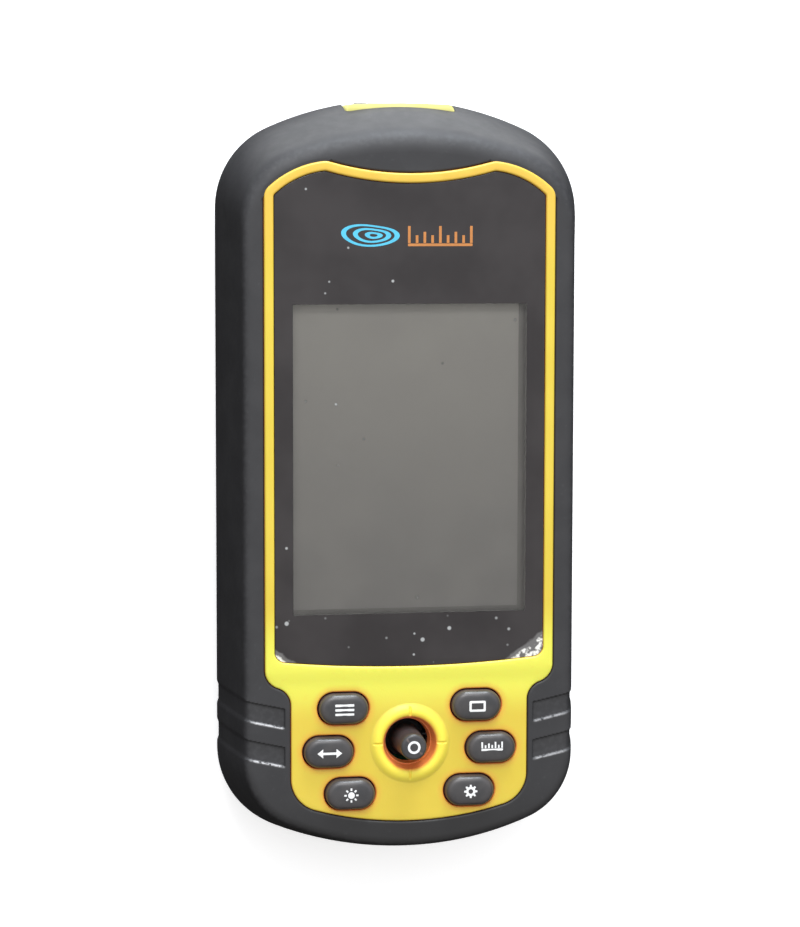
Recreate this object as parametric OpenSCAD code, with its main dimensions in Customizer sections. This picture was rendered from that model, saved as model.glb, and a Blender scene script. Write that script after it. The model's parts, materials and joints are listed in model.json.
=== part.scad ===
// Handheld satellite data collector: a yellow front housing and a dark rear housing inside
// black rubber bumpers, with a portrait display, six keys, a five-way joystick, a port flap
// and a hinged battery door. It lies on its back: +Z leaves the display, +Y is the top end.

/* [Body] */
// Length from the top end to the bottom end
body_len = 160; // [160:1:164]
// Width across the bumpers at the case joint
body_wid = 76.8; // [76:0.2:78]
// Height of the yellow deck above the back
deck_z = 34; // [34:0.5:36]
// Radius of the four body corners
corner_r = 18.5; // [17:0.5:19]
// Radius of the arched top end
top_r = 66.5; // [64:0.5:70]
// Radius of the arched bottom end
bottom_r = 70; // [68:1:74]
// How much the bumper narrows from the case joint to the front edge
side_draft = 3.8; // [3.5:0.1:4]
// How much the bumper slopes back at the top end
top_draft = 7.5; // [6:0.5:8]
// Thickness of the plastic walls
wall = 1.8; // [1.6:0.1:2]

/* [Display] */
// Width of the clear part of the window
view_w = 49.2; // [48:0.1:49.6]
// Height of the clear part of the window
view_h = 64.6; // [62:0.1:65]
// Height of the view's centre above the body's centre
view_y = 5.4; // [5:0.1:6]
// Thickness of the window
window_t = 1.6; // [1.2:0.1:1.8]
// Width of the yellow ring around the window
ring_w = 2.1; // [1.6:0.1:2.4]

/* [Keys] */
// Length of a key
key_len = 10.4; // [9.8:0.1:10.8]
// Width of a key
key_wid = 6.4; // [6:0.1:6.8]
// Gap between a key and its hole
key_gap = 0.3; // [0.25:0.05:0.4]
// How far a key stands above the deck
key_proud = 1.6; // [1.2:0.1:1.8]
// How far a key travels
key_travel = 0.6; // [0.3:0.1:0.6]

/* [Joystick] */
// Height of the stick's top above the deck
stick_proud = 4.9; // [4.2:0.1:5.5]
// Radius of the stick's flat top
stick_top_r = 2.3; // [2:0.1:2.4]
// Radius of the funnel at the collar
funnel_r = 5.5; // [5.4:0.1:5.8]
// Height of the collar bead
collar_h = 0.7; // [0.4:0.1:0.9]

/* [Port flap] */
// Width of the flap
flap_w = 23; // [22:0.5:26]
// Thickness of the flap
flap_t = 2; // [1.6:0.1:2.2]

/* [Battery] */
// Width of the battery pack
pack_w = 44; // [40:1:44]
// Thickness of the battery pack
pack_t = 9.6; // [8:0.2:9.6]
// Width of the battery door
door_w = 48; // [47:0.5:50]

/* [Hidden] */
$fn = 48;
eps = 0.01;
gap = 0.1; // between neighbouring shells
run = 0.05; // radial clearance of a turning fit
arc_step = 4; // degrees between the points of an arc

half_l = body_len / 2;
half_w = body_wid / 2;

// Levels, from the back to the front
back_z = 0.8; // outer face of the rear housing and of the battery door
floor_z = 3.6; // inner face of the rear housing's floor
split_z = 14; // joint between the bumpers, where the body is widest
joint_z = 15; // joint between the housings
gasket_t = 1;
rear_top_z = joint_z - gasket_t / 2;
front_low_z = joint_z + gasket_t / 2;
board_z = deck_z - 13.4; // underside of the main board
board_t = 1.6;
board_top_z = board_z + board_t;
plate_z = deck_z - 4.8; // underside of the front plate
plate_top_z = deck_z - 2.8; // front plate's outer face, under the bumper's lip
window_z = deck_z - 0.4 - window_t; // underside of the window
tape_t = 0.3;
lcd_t = 1.7;
lcd_margin = [0.8, 3, 2]; // of the display around its clear view: beside, below and above
backlight_t = 2.8;
lcd_frame_wall = 0.7;
flex_w = 18;
flex_t = 0.3;
lip_z = deck_z - 0.3; // front face of the bumper

// Bumper and shells, as insets from the body's outline
shell_in = 4.8;
edge_r = 1; // radius of the bumper's front and back edges
back_slope = 3.4; // how much the bumper narrows towards the back
lip_top_r = 80; // arch of the bumper's front edge at the top end
lip_corner_r = 14.5;
lip_wall = 1.2; // rubber around the front plate
ledge_z = 24.2; // where the front housing steps in under the top end's slope
ledge_t = 1.6;
back_in = 6.8; // inner edge of the rear bumper's lip
grip_lows = [-47, -55.1]; // where the lower edge of each grip recess starts
grip_x = 26.9;
grip_h = 4;
grip_turn = 14.8; // slant in degrees
grip_depth = 0.6;

// Deck outline
deck_w = 30.55; // half width beside the window
low_w = 25.1; // half width beside the keys
step_r = 4; // radius of the S between the two widths
step_y = -half_l + 37.9;
deck_bot = -half_l + 9;
deck_bot_r = 72;
low_r = 7;
shoulder_r = 3;
brow = [16, half_l - 32.8]; // centre of the arch beside each peak
brow_r = 20;
peak_r = 4;
dip_r = 62;
dip_c = [0, half_l - 15.4 + dip_r]; // centre of the hollow between the peaks
window_bot = -half_l + 42;
window_bot_r = 260;
window_corner_r = 2.2;

// Keys, [x, y] of the right one of each pair
key_rows = [[14.1, -46.7], [17.25, -55.8], [12.7, -64.8]];
key_flange = 0.8; // how far the flange under the plate reaches past the key
flange_z = plate_z - 1.2;
flange_t = 0.9;
stem_r = 1.6;
dome_h = 0.4;

// Joystick
stick = [0, -54.4];
pivot_z = board_top_z + 1.6; // where the stick's two tilting axes cross
disc_t = 1; // thickness of the gimbal's ring and disc
disc_r = 2.4;
gimbal_r = 3.6;
gimbal_hole_r = 2.75;
axle_r = 0.35;
axle_bore_r = 0.4;
shaft_r = 1.1;
shaft_h = 8.2;
socket_r = 1.15;
socket_h = shaft_h + 0.7; // leaves room for the press
funnel_low_r = 4.5;
ball_r = 4.6;
collar_r = 6.9;
collar_w = 3;

// Screws
case_posts = [[28.9, 54], [28.9, 4], [25, -62]];
board_bosses = [[22, 46], [22, -36.4]];
post_r = 2.6;
low_post_r = 3.1; // rear housing's posts, which take the screws' heads
boss_r = 2;
board_screw_r = 0.7;
board_head_r = 1.4;
case_screw_r = 1;
head_r = 1.9;
seat_z = 8; // where the case screws' heads sit
screw_top_z = 23;

// On the board
can_h = 2.4;
antenna_t = 3;
buzzer_r = 4.5;
buzzer_h = 3;
sound_r = 0.9;

// Port flap, hinged along X below the port
flap_axis = [half_l - 2, 8.8]; // [y, z]
flap_top_z = 21;
flap_face = half_l - 0.8; // middle of its outer face
flap_inner = flap_face - flap_t;
flap_face_r = 200; // curve of its outer face
flap_corner = 1.6;
barrel_r = 1.4;
barrel_x = 5;
flap_pin_r = 0.6;
flap_gap = 0.3; // beside the flap in its notch
notch_low_z = flap_axis.y - 2.3;
port = [[-4, board_z - 3.1], [4, board_z]]; // socket's shell, [x, z]
port_room = 0.4; // around the socket in its hole
port_wall = 0.4;
ear_gap = 0.4; // between the flap's barrel and the ears
ear_t = 2.6; // thickness of the ears that carry the flap's pin

// Battery bay and door
bay = [[-pack_w / 2 - 0.3, -42], [pack_w / 2 + 0.3, 8.6]];
bay_top_z = floor_z + pack_t + 0.4;
door = [[-door_w / 2, -60], [door_w / 2, 12]];
door_t = 1.8;
door_gasket_t = 0.4;
door_gap = 0.3; // around the door, its cup and its knuckles
door_swing_gap = 0.9; // beside the hinge, for the door's outer edge as it swings
bay_wall = 1.4;
bay_roof = 1.2;
door_axis = [14, 2.2]; // [y, z]
knuckle_r = 1.2;
door_pin_r = 0.5;
knuckle_x = [10, 18];
thumb = [0, -51]; // centre of the locking stud
stud_r = 1.5;
stud_top_z = 9;
insert_r = 2.6;
cup_r = 7.6; // pocket that the folded D-ring lies in
cup_z = 3.4; // bottom of that pocket
cup_wall = 1;
cup_top_z = cup_z + 1.6; // roof of the housing's hole for the pocket
head = [3.4, 1.2, 3.2]; // stud's head: radius, lower and upper level
ring_z = 2.2; // plane of the folded D-ring
ring_r = 5.2;
wire_r = 0.6;
bar_r = 0.5;

function arc(c, r, a0, a1) = let (n = ceil(abs(a1 - a0) / arc_step))
    [for (i = [0 : n - 1]) let (a = a0 + (a1 - a0) * i / n) c + r * [cos(a), sin(a)]];
function bearing(from, to) = atan2(to.y - from.y, to.x - from.x);
// Adds the mirrored left half to a right half that runs from the bottom centre to the top centre
function closed(half) =
    concat(half, [for (i = [len(half) - 2 : -1 : 1]) [-half[i].x, half[i].y]]);

// Right half of an outline with arched ends and rounded corners.
// Each end is [y, arch radius, corner radius].
function form_half(inset, w, low_end, top_end) = let (
        low_c = [0, low_end[0] + low_end[1]],
        top_c = [0, top_end[0] - top_end[1]],
        low_x = w - low_end[2],
        top_x = w - top_end[2],
        low = [low_x, low_c.y - sqrt(pow(low_end[1] - low_end[2], 2) - low_x * low_x)],
        top = [top_x, top_c.y + sqrt(pow(top_end[1] - top_end[2], 2) - top_x * top_x)]
    ) concat(
        arc(low_c, low_end[1] - inset, -90, bearing(low_c, low)),
        arc(low, low_end[2] - inset, bearing(low_c, low), 0),
        arc(top, top_end[2] - inset, 0, bearing(top_c, top)),
        arc(top_c, top_end[1] - inset, bearing(top_c, top), 90),
        [[0, top_end[0] - inset]]
    );
function body_outline(inset) = closed(form_half(inset, half_w,
    [-half_l, bottom_r, corner_r], [half_l, top_r, corner_r]));
// Outline of the bumper's front edge
function lip_outline(inset) = closed(form_half(inset, half_w - side_draft,
    [side_draft - half_l, bottom_r - side_draft, corner_r - side_draft],
    [half_l - top_draft, lip_top_r, lip_corner_r]));

// Right half of the deck's outline above the keys: shoulder, brow, peak and hollow
function crown_half(inset) = let (
        sx = deck_w - shoulder_r,
        shoulder = [sx, brow.y + sqrt(pow(brow_r - shoulder_r, 2) - pow(sx - brow.x, 2))],
        d = norm(dip_c - brow),
        r1 = brow_r - peak_r,
        r2 = dip_r + peak_r,
        along = (r1 * r1 - r2 * r2 + d * d) / (2 * d),
        u = (dip_c - brow) / d,
        peak = brow + along * u + sqrt(r1 * r1 - along * along) * [u.y, -u.x]
    ) concat(
        arc(shoulder, shoulder_r - inset, 0, bearing(brow, shoulder)),
        arc(brow, brow_r - inset, bearing(brow, shoulder), bearing(brow, peak)),
        arc(peak, peak_r - inset, bearing(brow, peak), bearing(peak, dip_c)),
        arc(dip_c, dip_r + inset, bearing(dip_c, peak), -90),
        [[0, dip_c.y - dip_r - inset]]
    );
function deck_outline(inset) = let (
        low_c = [0, deck_bot + deck_bot_r],
        x = low_w - low_r,
        low = [x, low_c.y - sqrt(pow(deck_bot_r - low_r, 2) - x * x)],
        lean = acos((deck_w - low_w - 2 * step_r) / (2 * step_r)),
        rise = step_r * sin(lean)
    ) closed(concat(
        arc(low_c, deck_bot_r - inset, -90, bearing(low_c, low)),
        arc(low, low_r - inset, bearing(low_c, low), 0),
        arc([low_w + step_r, step_y - rise], step_r + inset, 180, lean),
        arc([deck_w - step_r, step_y + rise], step_r - inset, lean - 180, 0),
        crown_half(inset)
    ));
function window_outline(inset) = let (
        low_c = [0, window_bot + window_bot_r],
        x = deck_w - ring_w - window_corner_r,
        low = [x, low_c.y - sqrt(pow(window_bot_r - window_corner_r, 2) - x * x)]
    ) closed(concat(
        arc(low_c, window_bot_r - inset, -90, bearing(low_c, low)),
        arc(low, window_corner_r - inset, bearing(low_c, low), 0),
        crown_half(ring_w + inset)
    ));

module slab(outline, z0, z1) translate([0, 0, z0]) linear_extrude(z1 - z0) polygon(outline);
module box(low, high) translate(low) cube(high - low);
module both_sides() {
    children();
    mirror([1, 0, 0]) children();
}
module stadium(at, length, width, z0, z1) translate([at.x, at.y, z0]) {
    translate([(width - length) / 2, -width / 2, 0]) cube([length - width, width, z1 - z0]);
    for (side = [-1, 1])
        translate([side * (length - width) / 2, 0, 0]) cylinder(d = width, h = z1 - z0);
}
module post(at, r, z0, z1) translate([at.x, at.y, z0]) cylinder(r = r, h = z1 - z0);
// A cylinder along X from x0 to x1, its axis at [y, z]
module rod(axis, r, x0, x1)
    translate([x0, axis.x, axis.y]) rotate([0, 90, 0]) cylinder(r = r, h = x1 - x0);
module each_key() for (row = key_rows, side = [-1, 1]) translate([side * row.x, row.y, 0]) children();
module each_post(list) for (at = list, side = [-1, 1]) translate([side * at.x, at.y, 0]) children();

// Outer form of the front or the rear bumper, from the case joint to its face
module bumper_form(front) {
    toward = front ? 1 : -1;
    z_joint = split_z + toward * gap;
    z_face = front ? lip_z : 0;
    z_edge = z_face - toward * edge_r;
    hull() {
        slab(body_outline(0), min(z_joint, z_joint + toward * 0.4), max(z_joint, z_joint + toward * 0.4));
        for (a = [0, 30, 60, 90]) {
            z = z_edge + toward * edge_r * sin(a);
            inset = edge_r * (1 - cos(a));
            slab(front ? lip_outline(inset) : body_outline(back_slope + inset),
                min(z, z - toward * eps), max(z, z - toward * eps));
        }
    }
}

module front_bumper() color("#2b2c2f") difference() {
    bumper_form(true);
    slab(body_outline(shell_in - gap), split_z - 1, ledge_z + run);
    slab(lip_outline(lip_wall - gap), ledge_z - 1, plate_top_z + run);
    slab(deck_outline(-0.15), plate_top_z - 1, deck_z + 1);
    grip_pockets();
    flap_notch();
}

// Two slanting recesses on each side of the keys
module grip_pockets() both_sides() for (y = grip_lows)
    translate([grip_x, y, lip_z - grip_depth]) rotate([0, 0, grip_turn])
        translate([0, -3.4, 0]) cube([14, grip_h, 2]);

module flap_notch() {
    box([-flap_w / 2 - flap_gap, half_l - shell_in - 1.2, notch_low_z],
        [flap_w / 2 + flap_gap, half_l + 1, flap_top_z + 2 * flap_gap]);
}

module rear_bumper() color("#2b2c2f") difference() {
    bumper_form(false);
    slab(body_outline(shell_in - gap), 1.5, split_z + 1);
    slab(body_outline(back_in), -1, split_z);
    flap_notch();
}

module front_housing() color("#f2c026") difference() {
    union() {
        slab(lip_outline(lip_wall), plate_z, plate_top_z);
        difference() {
            union() {
                slab(body_outline(shell_in), front_low_z, ledge_z);
                slab(lip_outline(lip_wall), ledge_z - eps, plate_z + eps);
            }
            slab(body_outline(shell_in + wall), front_low_z - 1, ledge_z - ledge_t);
            slab(lip_outline(lip_wall + wall), front_low_z - 1, plate_z + 1);
        }
        slab(deck_outline(0), plate_top_z - eps, deck_z);
        each_post(case_posts) post([0, 0], post_r, joint_z + 0.2, plate_z + eps);
        each_post(board_bosses) post([0, 0], boss_r, board_top_z + run, plate_z + eps);
        collar();
    }
    slab(window_outline(-0.1), window_z - tape_t, deck_z + 1);
    box([-view_w / 2 - 1.1, view_y - view_h / 2 - 3.4, plate_z - 1],
        [view_w / 2 + 1.1, view_y + view_h / 2 + 2.4, deck_z]);
    each_key() stadium([0, 0], key_len + 2 * key_gap, key_wid + 2 * key_gap, plate_z - 1, deck_z + 1);
    translate([stick.x, stick.y, plate_z - eps])
        cylinder(r1 = funnel_low_r, r2 = funnel_r, h = deck_z + collar_h - plate_z);
    each_post(case_posts) post([0, 0], case_screw_r + run, joint_z, screw_top_z + 1);
    each_post(board_bosses) post([0, 0], board_screw_r + run, board_z, plate_z - 0.4);
    port_hole();
}

// Bead around the joystick with a nick at each of the four directions
module collar() translate([stick.x, stick.y, deck_z]) difference() {
    rotate_extrude() translate([collar_r, 0]) intersection() {
        scale([collar_w / 2 / collar_h, 1]) circle(r = collar_h, $fn = 24);
        translate([-collar_w, -0.4]) square([2 * collar_w, 2]);
    }
    for (a = [0 : 90 : 270]) rotate([0, 0, a])
        translate([collar_r - 1, -0.2, collar_h - 0.35]) cube([2, 0.4, 1]);
}

module port_hole()
    box([port[0].x - 3 * port_room, half_l - 8, port[0].y - port_room],
        [port[1].x + 3 * port_room, half_l, port[1].y + port_room]);

module rear_housing() color("#34363a") difference() {
    union() {
        difference() {
            slab(body_outline(shell_in), 1.6, rear_top_z);
            slab(body_outline(shell_in + wall), floor_z, rear_top_z + 1);
        }
        slab(body_outline(back_in + gap), back_z, floor_z);
        each_post(case_posts) post([0, 0], low_post_r, floor_z - eps, joint_z);
        // Walls and roof of the battery bay
        box([bay[0].x - bay_wall, bay[0].y - bay_wall, floor_z - eps],
            [bay[1].x + bay_wall, bay[1].y + bay_wall, bay_top_z + bay_roof]);
        // Tower over the locking stud
        box([-5, door[0].y + 1.5, cup_top_z], [5, bay[0].y, bay_top_z + bay_roof]);
        box([-cup_r - 2.4, door[0].y - 2, floor_z - eps],
            [cup_r + 2.4, bay[0].y, cup_top_z + 0.8]);
        hinge_ears();
    }
    // Door recess and bay
    box([door[0].x - door_gap, door[0].y - door_gap, -1],
        [door[1].x + door_gap, door[1].y + door_swing_gap, back_z + door_t + door_gasket_t]);
    box([bay[0].x, bay[0].y, -1], [bay[1].x, bay[1].y, bay_top_z]);
    post(thumb, cup_r + cup_wall + door_gap, -1, cup_top_z);
    post(thumb, insert_r, cup_top_z - 1, bay_top_z - 1);
    both_sides() {
        box([knuckle_x[0] - door_gap, door[1].y, -1],
            [knuckle_x[1] + door_gap, door_axis.x + knuckle_r + door_gap, door_axis.y + knuckle_r + 0.15]);
        rod(door_axis, door_pin_r, knuckle_x[0] - 2, knuckle_x[1] + 2);
    }
    each_post(case_posts) {
        post([0, 0], head_r + 0.15, -1, seat_z);
        post([0, 0], case_screw_r + 0.15, 0, joint_z + 1);
    }
    rod(flap_axis, flap_pin_r, -barrel_x - 3, barrel_x + 3);
}

// Ears that carry the flap's pin
module hinge_ears() both_sides() {
    low_x = barrel_x + ear_gap;
    box([low_x, half_l - shell_in - 1.5, flap_axis.y - barrel_r],
        [low_x + ear_t, flap_axis.x, flap_axis.y + barrel_r]);
    rod(flap_axis, barrel_r, low_x, low_x + ear_t);
}

module case_gasket() color("#1c1c1e") difference() {
    slab(body_outline(shell_in + 0.3), rear_top_z, front_low_z);
    slab(body_outline(shell_in + wall - 0.3), rear_top_z - 1, front_low_z + 1);
}

module display_window() color("#17181b") slab(window_outline(0), window_z, window_z + window_t);

module window_tape() color("#101012") difference() {
    slab(window_outline(0.6), window_z - tape_t, window_z);
    box([-view_w / 2 - 1, view_y - view_h / 2 - 1, 0], [view_w / 2 + 1, view_y + view_h / 2 + 1, deck_z]);
}

module lcd_panel() color("#77756f") box(display_low(0, plate_z), display_high(0, plate_z + lcd_t));

module backlight() color("#e8e9ea") box(display_low(0, plate_z - backlight_t), display_high(0, plate_z));

// Low and high corner of a block round the display, grown by g in X and Y
function display_low(g, z) = [-view_w / 2 - lcd_margin[0] - g, view_y - view_h / 2 - lcd_margin[1] - g, z];
function display_high(g, z) = [view_w / 2 + lcd_margin[0] + g, view_y + view_h / 2 + lcd_margin[2] + g, z];

module lcd_frame() color("#c9ccd0") difference() {
    box(display_low(lcd_frame_wall, board_top_z), display_high(lcd_frame_wall, plate_z));
    box(display_low(0, plate_z - backlight_t), display_high(0, plate_z + 1));
    box(display_low(-1, board_top_z - 1), display_high(-1, plate_z - 3.4));
}

// Flat flex that comes out of the frame's lower end and folds down to the board
module lcd_flex() color("#b8742a") {
    y = display_low(lcd_frame_wall, 0).y;
    box([-flex_w / 2, y - 2, plate_z - 1], [flex_w / 2, y, plate_z - 1 + flex_t]);
    box([-flex_w / 2, y - 2, board_top_z], [flex_w / 2, y - 2 + flex_t, plate_z - 1]);
}

module keypad_mat() color("#26272a") difference() {
    intersection() {
        slab(body_outline(9.4), flange_z, plate_z);
        box([-24, -half_l, 0], [24, -40, deck_z]);
    }
    each_key() stadium([0, 0], key_len + 2 * key_flange + 0.6, key_wid + 2 * key_flange + 0.6, 0, deck_z);
    post(stick, 6.6, 0, deck_z);
    each_post(case_posts) post([0, 0], post_r + 0.3, 0, deck_z);
}

module key(at) color("#3a3b3f") translate([at.x, at.y, 0]) {
    top_z = deck_z + key_proud;
    hull() {
        stadium([0, 0], key_len, key_wid, flange_z + flange_t - eps, top_z - 1, $fn = 32);
        stadium([0, 0], key_len - 0.5, key_wid - 0.5, deck_z, top_z - 0.45, $fn = 32);
        stadium([0, 0], key_len - 2, key_wid - 2, deck_z, top_z, $fn = 32);
    }
    stadium([0, 0], key_len + 2 * key_flange, key_wid + 2 * key_flange, flange_z, flange_z + flange_t);
    post([0, 0], stem_r, board_top_z + dome_h + key_travel + 0.1, flange_z + eps);
}

module key_domes() color("#c8cace")
    each_key() translate([0, 0, board_top_z]) cylinder(r1 = 2.5, r2 = 1, h = dome_h);

module joystick_cap() color("#303135") translate([stick.x, stick.y, 0]) {
    top_z = deck_z + stick_proud;
    low_z = pivot_z + 1.8;
    neck_z = pivot_z + 3.2;
    neck_r = sqrt(ball_r * ball_r - pow(neck_z - pivot_z, 2));
    ball_a = asin((low_z - pivot_z) / ball_r);
    neck_a = asin((neck_z - pivot_z) / ball_r);
    rotate_extrude() polygon(concat(
        [[socket_r, low_z - 0.5], [2.2, low_z - 0.5], [2.2, low_z]],
        arc([0, pivot_z], ball_r, ball_a, neck_a),
        [[neck_r, neck_z], [stick_top_r + 0.4, top_z - 0.6]],
        arc([stick_top_r - 0.2, top_z - 0.6], 0.6, 0, 90),
        [[stick_top_r - 0.2, top_z], [0, top_z], [0, pivot_z + socket_h], [socket_r, pivot_z + socket_h]]
    ));
}

// A rod along Y, centred on the stick
module axle_y(r, length) rotate([90, 0, 0]) translate([0, 0, -length / 2]) cylinder(r = r, h = length);

module joystick_pivot() color("#8d9096") translate([stick.x, stick.y, pivot_z]) {
    post([0, 0], disc_r, -disc_t / 2, disc_t / 2);
    post([0, 0], shaft_r, 0, shaft_h);
    axle_y(axle_r, 2 * disc_r + 2);
}

module gimbal_ring() color("#a5a8ae") translate([stick.x, stick.y, pivot_z]) difference() {
    union() {
        post([0, 0], gimbal_r, -disc_t / 2, disc_t / 2);
        rod([0, 0], axle_r, -gimbal_r - 2.2, gimbal_r + 2.2);
    }
    post([0, 0], gimbal_hole_r, -1, 1);
    axle_y(axle_bore_r, 10);
}

module joystick_base() color("#1f2023") translate([stick.x, stick.y, 0]) difference() {
    union() {
        box([-6, -4.5, board_top_z], [6, 4.5, board_top_z + 0.4]);
        both_sides() box([5, -1.5, board_top_z], [6, 1.5, pivot_z + 0.9]);
    }
    rod([0, pivot_z], axle_bore_r, -7, 7);
}

module main_board() color("#1d5c38") difference() {
    intersection() {
        slab(body_outline(8.2), board_z, board_top_z);
        box([-25.6, -half_l, 0], [25.6, half_l - 9.5, deck_z]);
    }
    each_post(case_posts) post([0, 0], post_r + 0.4, 0, deck_z);
    each_post(board_bosses) post([0, 0], board_screw_r + gap, 0, deck_z);
}

module shield_cans() color("#b9bcc1") {
    box([-19, 24, board_z - can_h], [19, 44, board_z]);
    box([-14, -32, board_z - can_h], [16, -8, board_z]);
}

module gnss_antenna() color("#d9c7a2") {
    box([-11, half_l - 33, board_top_z], [11, half_l - 12, board_top_z + antenna_t]);
    box([-9, half_l - 31, board_top_z + antenna_t], [9, half_l - 14, board_top_z + antenna_t + 0.1]);
}

module usb_socket() color("#c4c7cb") difference() {
    box([port[0].x, half_l - 14, port[0].y], [port[1].x, half_l - 6.8, port[1].y]);
    box([port[0].x + port_wall, half_l - 13, port[0].y + port_wall],
        [port[1].x - port_wall, half_l, port[1].y - port_wall]);
}

module buzzer() color("#202124") translate([17, 58, board_z - buzzer_h]) difference() {
    cylinder(r = buzzer_r, h = buzzer_h);
    translate([0, 0, -1]) cylinder(r = sound_r, h = 1.6);
}

// Plan of the flap: its outer face curves, and its ends are rounded
function flap_plan() = let (
        x = flap_w / 2 - flap_corner,
        c = [0, flap_face - flap_face_r],
        end = [x, c.y + sqrt(pow(flap_face_r - flap_corner, 2) - x * x)]
    ) closed(concat(
        [[0, flap_inner], [flap_w / 2, flap_inner]],
        arc(end, flap_corner, 0, bearing(c, end)),
        arc(c, flap_face_r, bearing(c, end), 90),
        [[0, flap_face]]
    ));

module port_flap() color("#f2c026") difference() {
    union() {
        slab(flap_plan(), flap_axis.y + barrel_r + 0.1, flap_top_z);
        box([-barrel_x, flap_inner, flap_axis.y], [barrel_x, flap_face, flap_axis.y + 1.6]);
        rod(flap_axis, barrel_r, -barrel_x, barrel_x);
        // Plug that closes the port
        box([port[0].x - 0.8, half_l - shell_in - 0.6, port[0].y + 0.1],
            [port[1].x + 0.8, flap_inner + eps, port[1].y - 0.1]);
    }
    rod(flap_axis, flap_pin_r + run, -barrel_x - 1, barrel_x + 1);
}

module flap_pin() color("silver") rod(flap_axis, flap_pin_r, -barrel_x - 3, barrel_x + 3);

module battery_pack() color("#2f4f7a")
    box([-pack_w / 2, bay[0].y + 1.2, floor_z + 0.1], [pack_w / 2, bay[1].y - 0.3, floor_z + 0.1 + pack_t]);

module battery_contacts() color("gold") for (x = [-6, 0, 6])
    box([x - 1, bay[0].y, floor_z + 3], [x + 1, bay[0].y + 1.2, floor_z + 8]);

module battery_door() color("#303236") difference() {
    union() {
        box([door[0].x, door[0].y, back_z], [door[1].x, door[1].y, back_z + door_t]);
        post(thumb, cup_r + cup_wall, back_z, cup_z + 1.2);
        both_sides() {
            rod(door_axis, knuckle_r, knuckle_x[0], knuckle_x[1]);
            box([knuckle_x[0], door[1].y - 1, back_z + 0.3], [knuckle_x[1], door_axis.x, back_z + door_t]);
        }
    }
    post(thumb, cup_r, -1, cup_z);
    post(thumb, stud_r + run, 0, stud_top_z);
    both_sides() rod(door_axis, door_pin_r + run, 0, door[1].x + 6);
    // Grip grooves
    for (i = [0 : 4]) box([-16, -36 + 6 * i, -1], [16, -34.4 + 6 * i, back_z + 0.5]);
}

module door_gasket() color("#1c1c1e") difference() {
    box([bay[0].x - 1.2, bay[0].y - 0.9, back_z + door_t],
        [bay[1].x + 1.2, bay[1].y + 1.2, back_z + door_t + door_gasket_t]);
    box([bay[0].x, bay[0].y, 0], [bay[1].x, bay[1].y, stud_top_z]);
    post(thumb, cup_r + cup_wall + door_gap, 0, stud_top_z);
}

module door_pins() color("silver")
    both_sides() rod(door_axis, door_pin_r, knuckle_x[0] - 2, knuckle_x[1] + 2);

module door_screw() color("silver") difference() {
    union() {
        post(thumb, head[0], head[1], head[2]);
        post(thumb, stud_r, head[2] - eps, stud_top_z);
    }
    rod([thumb.y, ring_z], bar_r + run, -head[0] - 1, head[0] + 1);
}

module d_ring() color("silver") translate([thumb.x, thumb.y, ring_z]) {
    rotate([0, 0, 180]) rotate_extrude(angle = 180) translate([ring_r, 0]) circle(r = wire_r, $fn = 24);
    rod([0, 0], bar_r, -ring_r, ring_r);
}

// Bushing that the locking stud turns in, with room for the door's swing
module screw_insert() color("#c9a24a") difference() {
    post(thumb, insert_r, cup_top_z, bay_top_z - 1);
    post(thumb, stud_r + 0.45, cup_top_z - 1, bay_top_z - 2);
}

module case_screws() color("#8b8e93") each_post(case_posts) {
    difference() {
        post([0, 0], head_r, seat_z - 1.6, seat_z);
        translate([0, 0, seat_z - 2]) cylinder(r = case_screw_r, h = 1.2, $fn = 6);
    }
    post([0, 0], case_screw_r, seat_z - 0.1, screw_top_z);
}

module board_screws() color("#9b9ea3") each_post(board_bosses) {
    post([0, 0], board_head_r, board_z - 1, board_z);
    post([0, 0], board_screw_r, board_z - 0.1, plate_z - 0.8);
}

function key_at(row, side) = [side * key_rows[row].x, key_rows[row].y];

front_housing();
front_bumper();
rear_housing();
rear_bumper();
case_gasket();
display_window();
window_tape();
lcd_panel();
backlight();
lcd_frame();
lcd_flex();
keypad_mat();
key(key_at(0, -1));  // menu_key
key(key_at(1, -1));  // distance_key
key(key_at(2, -1));  // light_key
key(key_at(0, 1));  // area_key
key(key_at(1, 1));  // unit_key
key(key_at(2, 1));  // settings_key
key_domes();
joystick_cap();
joystick_pivot();
gimbal_ring();
joystick_base();
main_board();
shield_cans();
gnss_antenna();
usb_socket();
buzzer();
port_flap();
flap_pin();
battery_pack();
battery_contacts();
battery_door();
door_gasket();
door_pins();
door_screw();
d_ring();
screw_insert();
case_screws();
board_screws();
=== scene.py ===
import json
import math

import bmesh
import bpy
import numpy as np
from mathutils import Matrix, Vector
from mathutils.geometry import delaunay_2d_cdt


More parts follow.
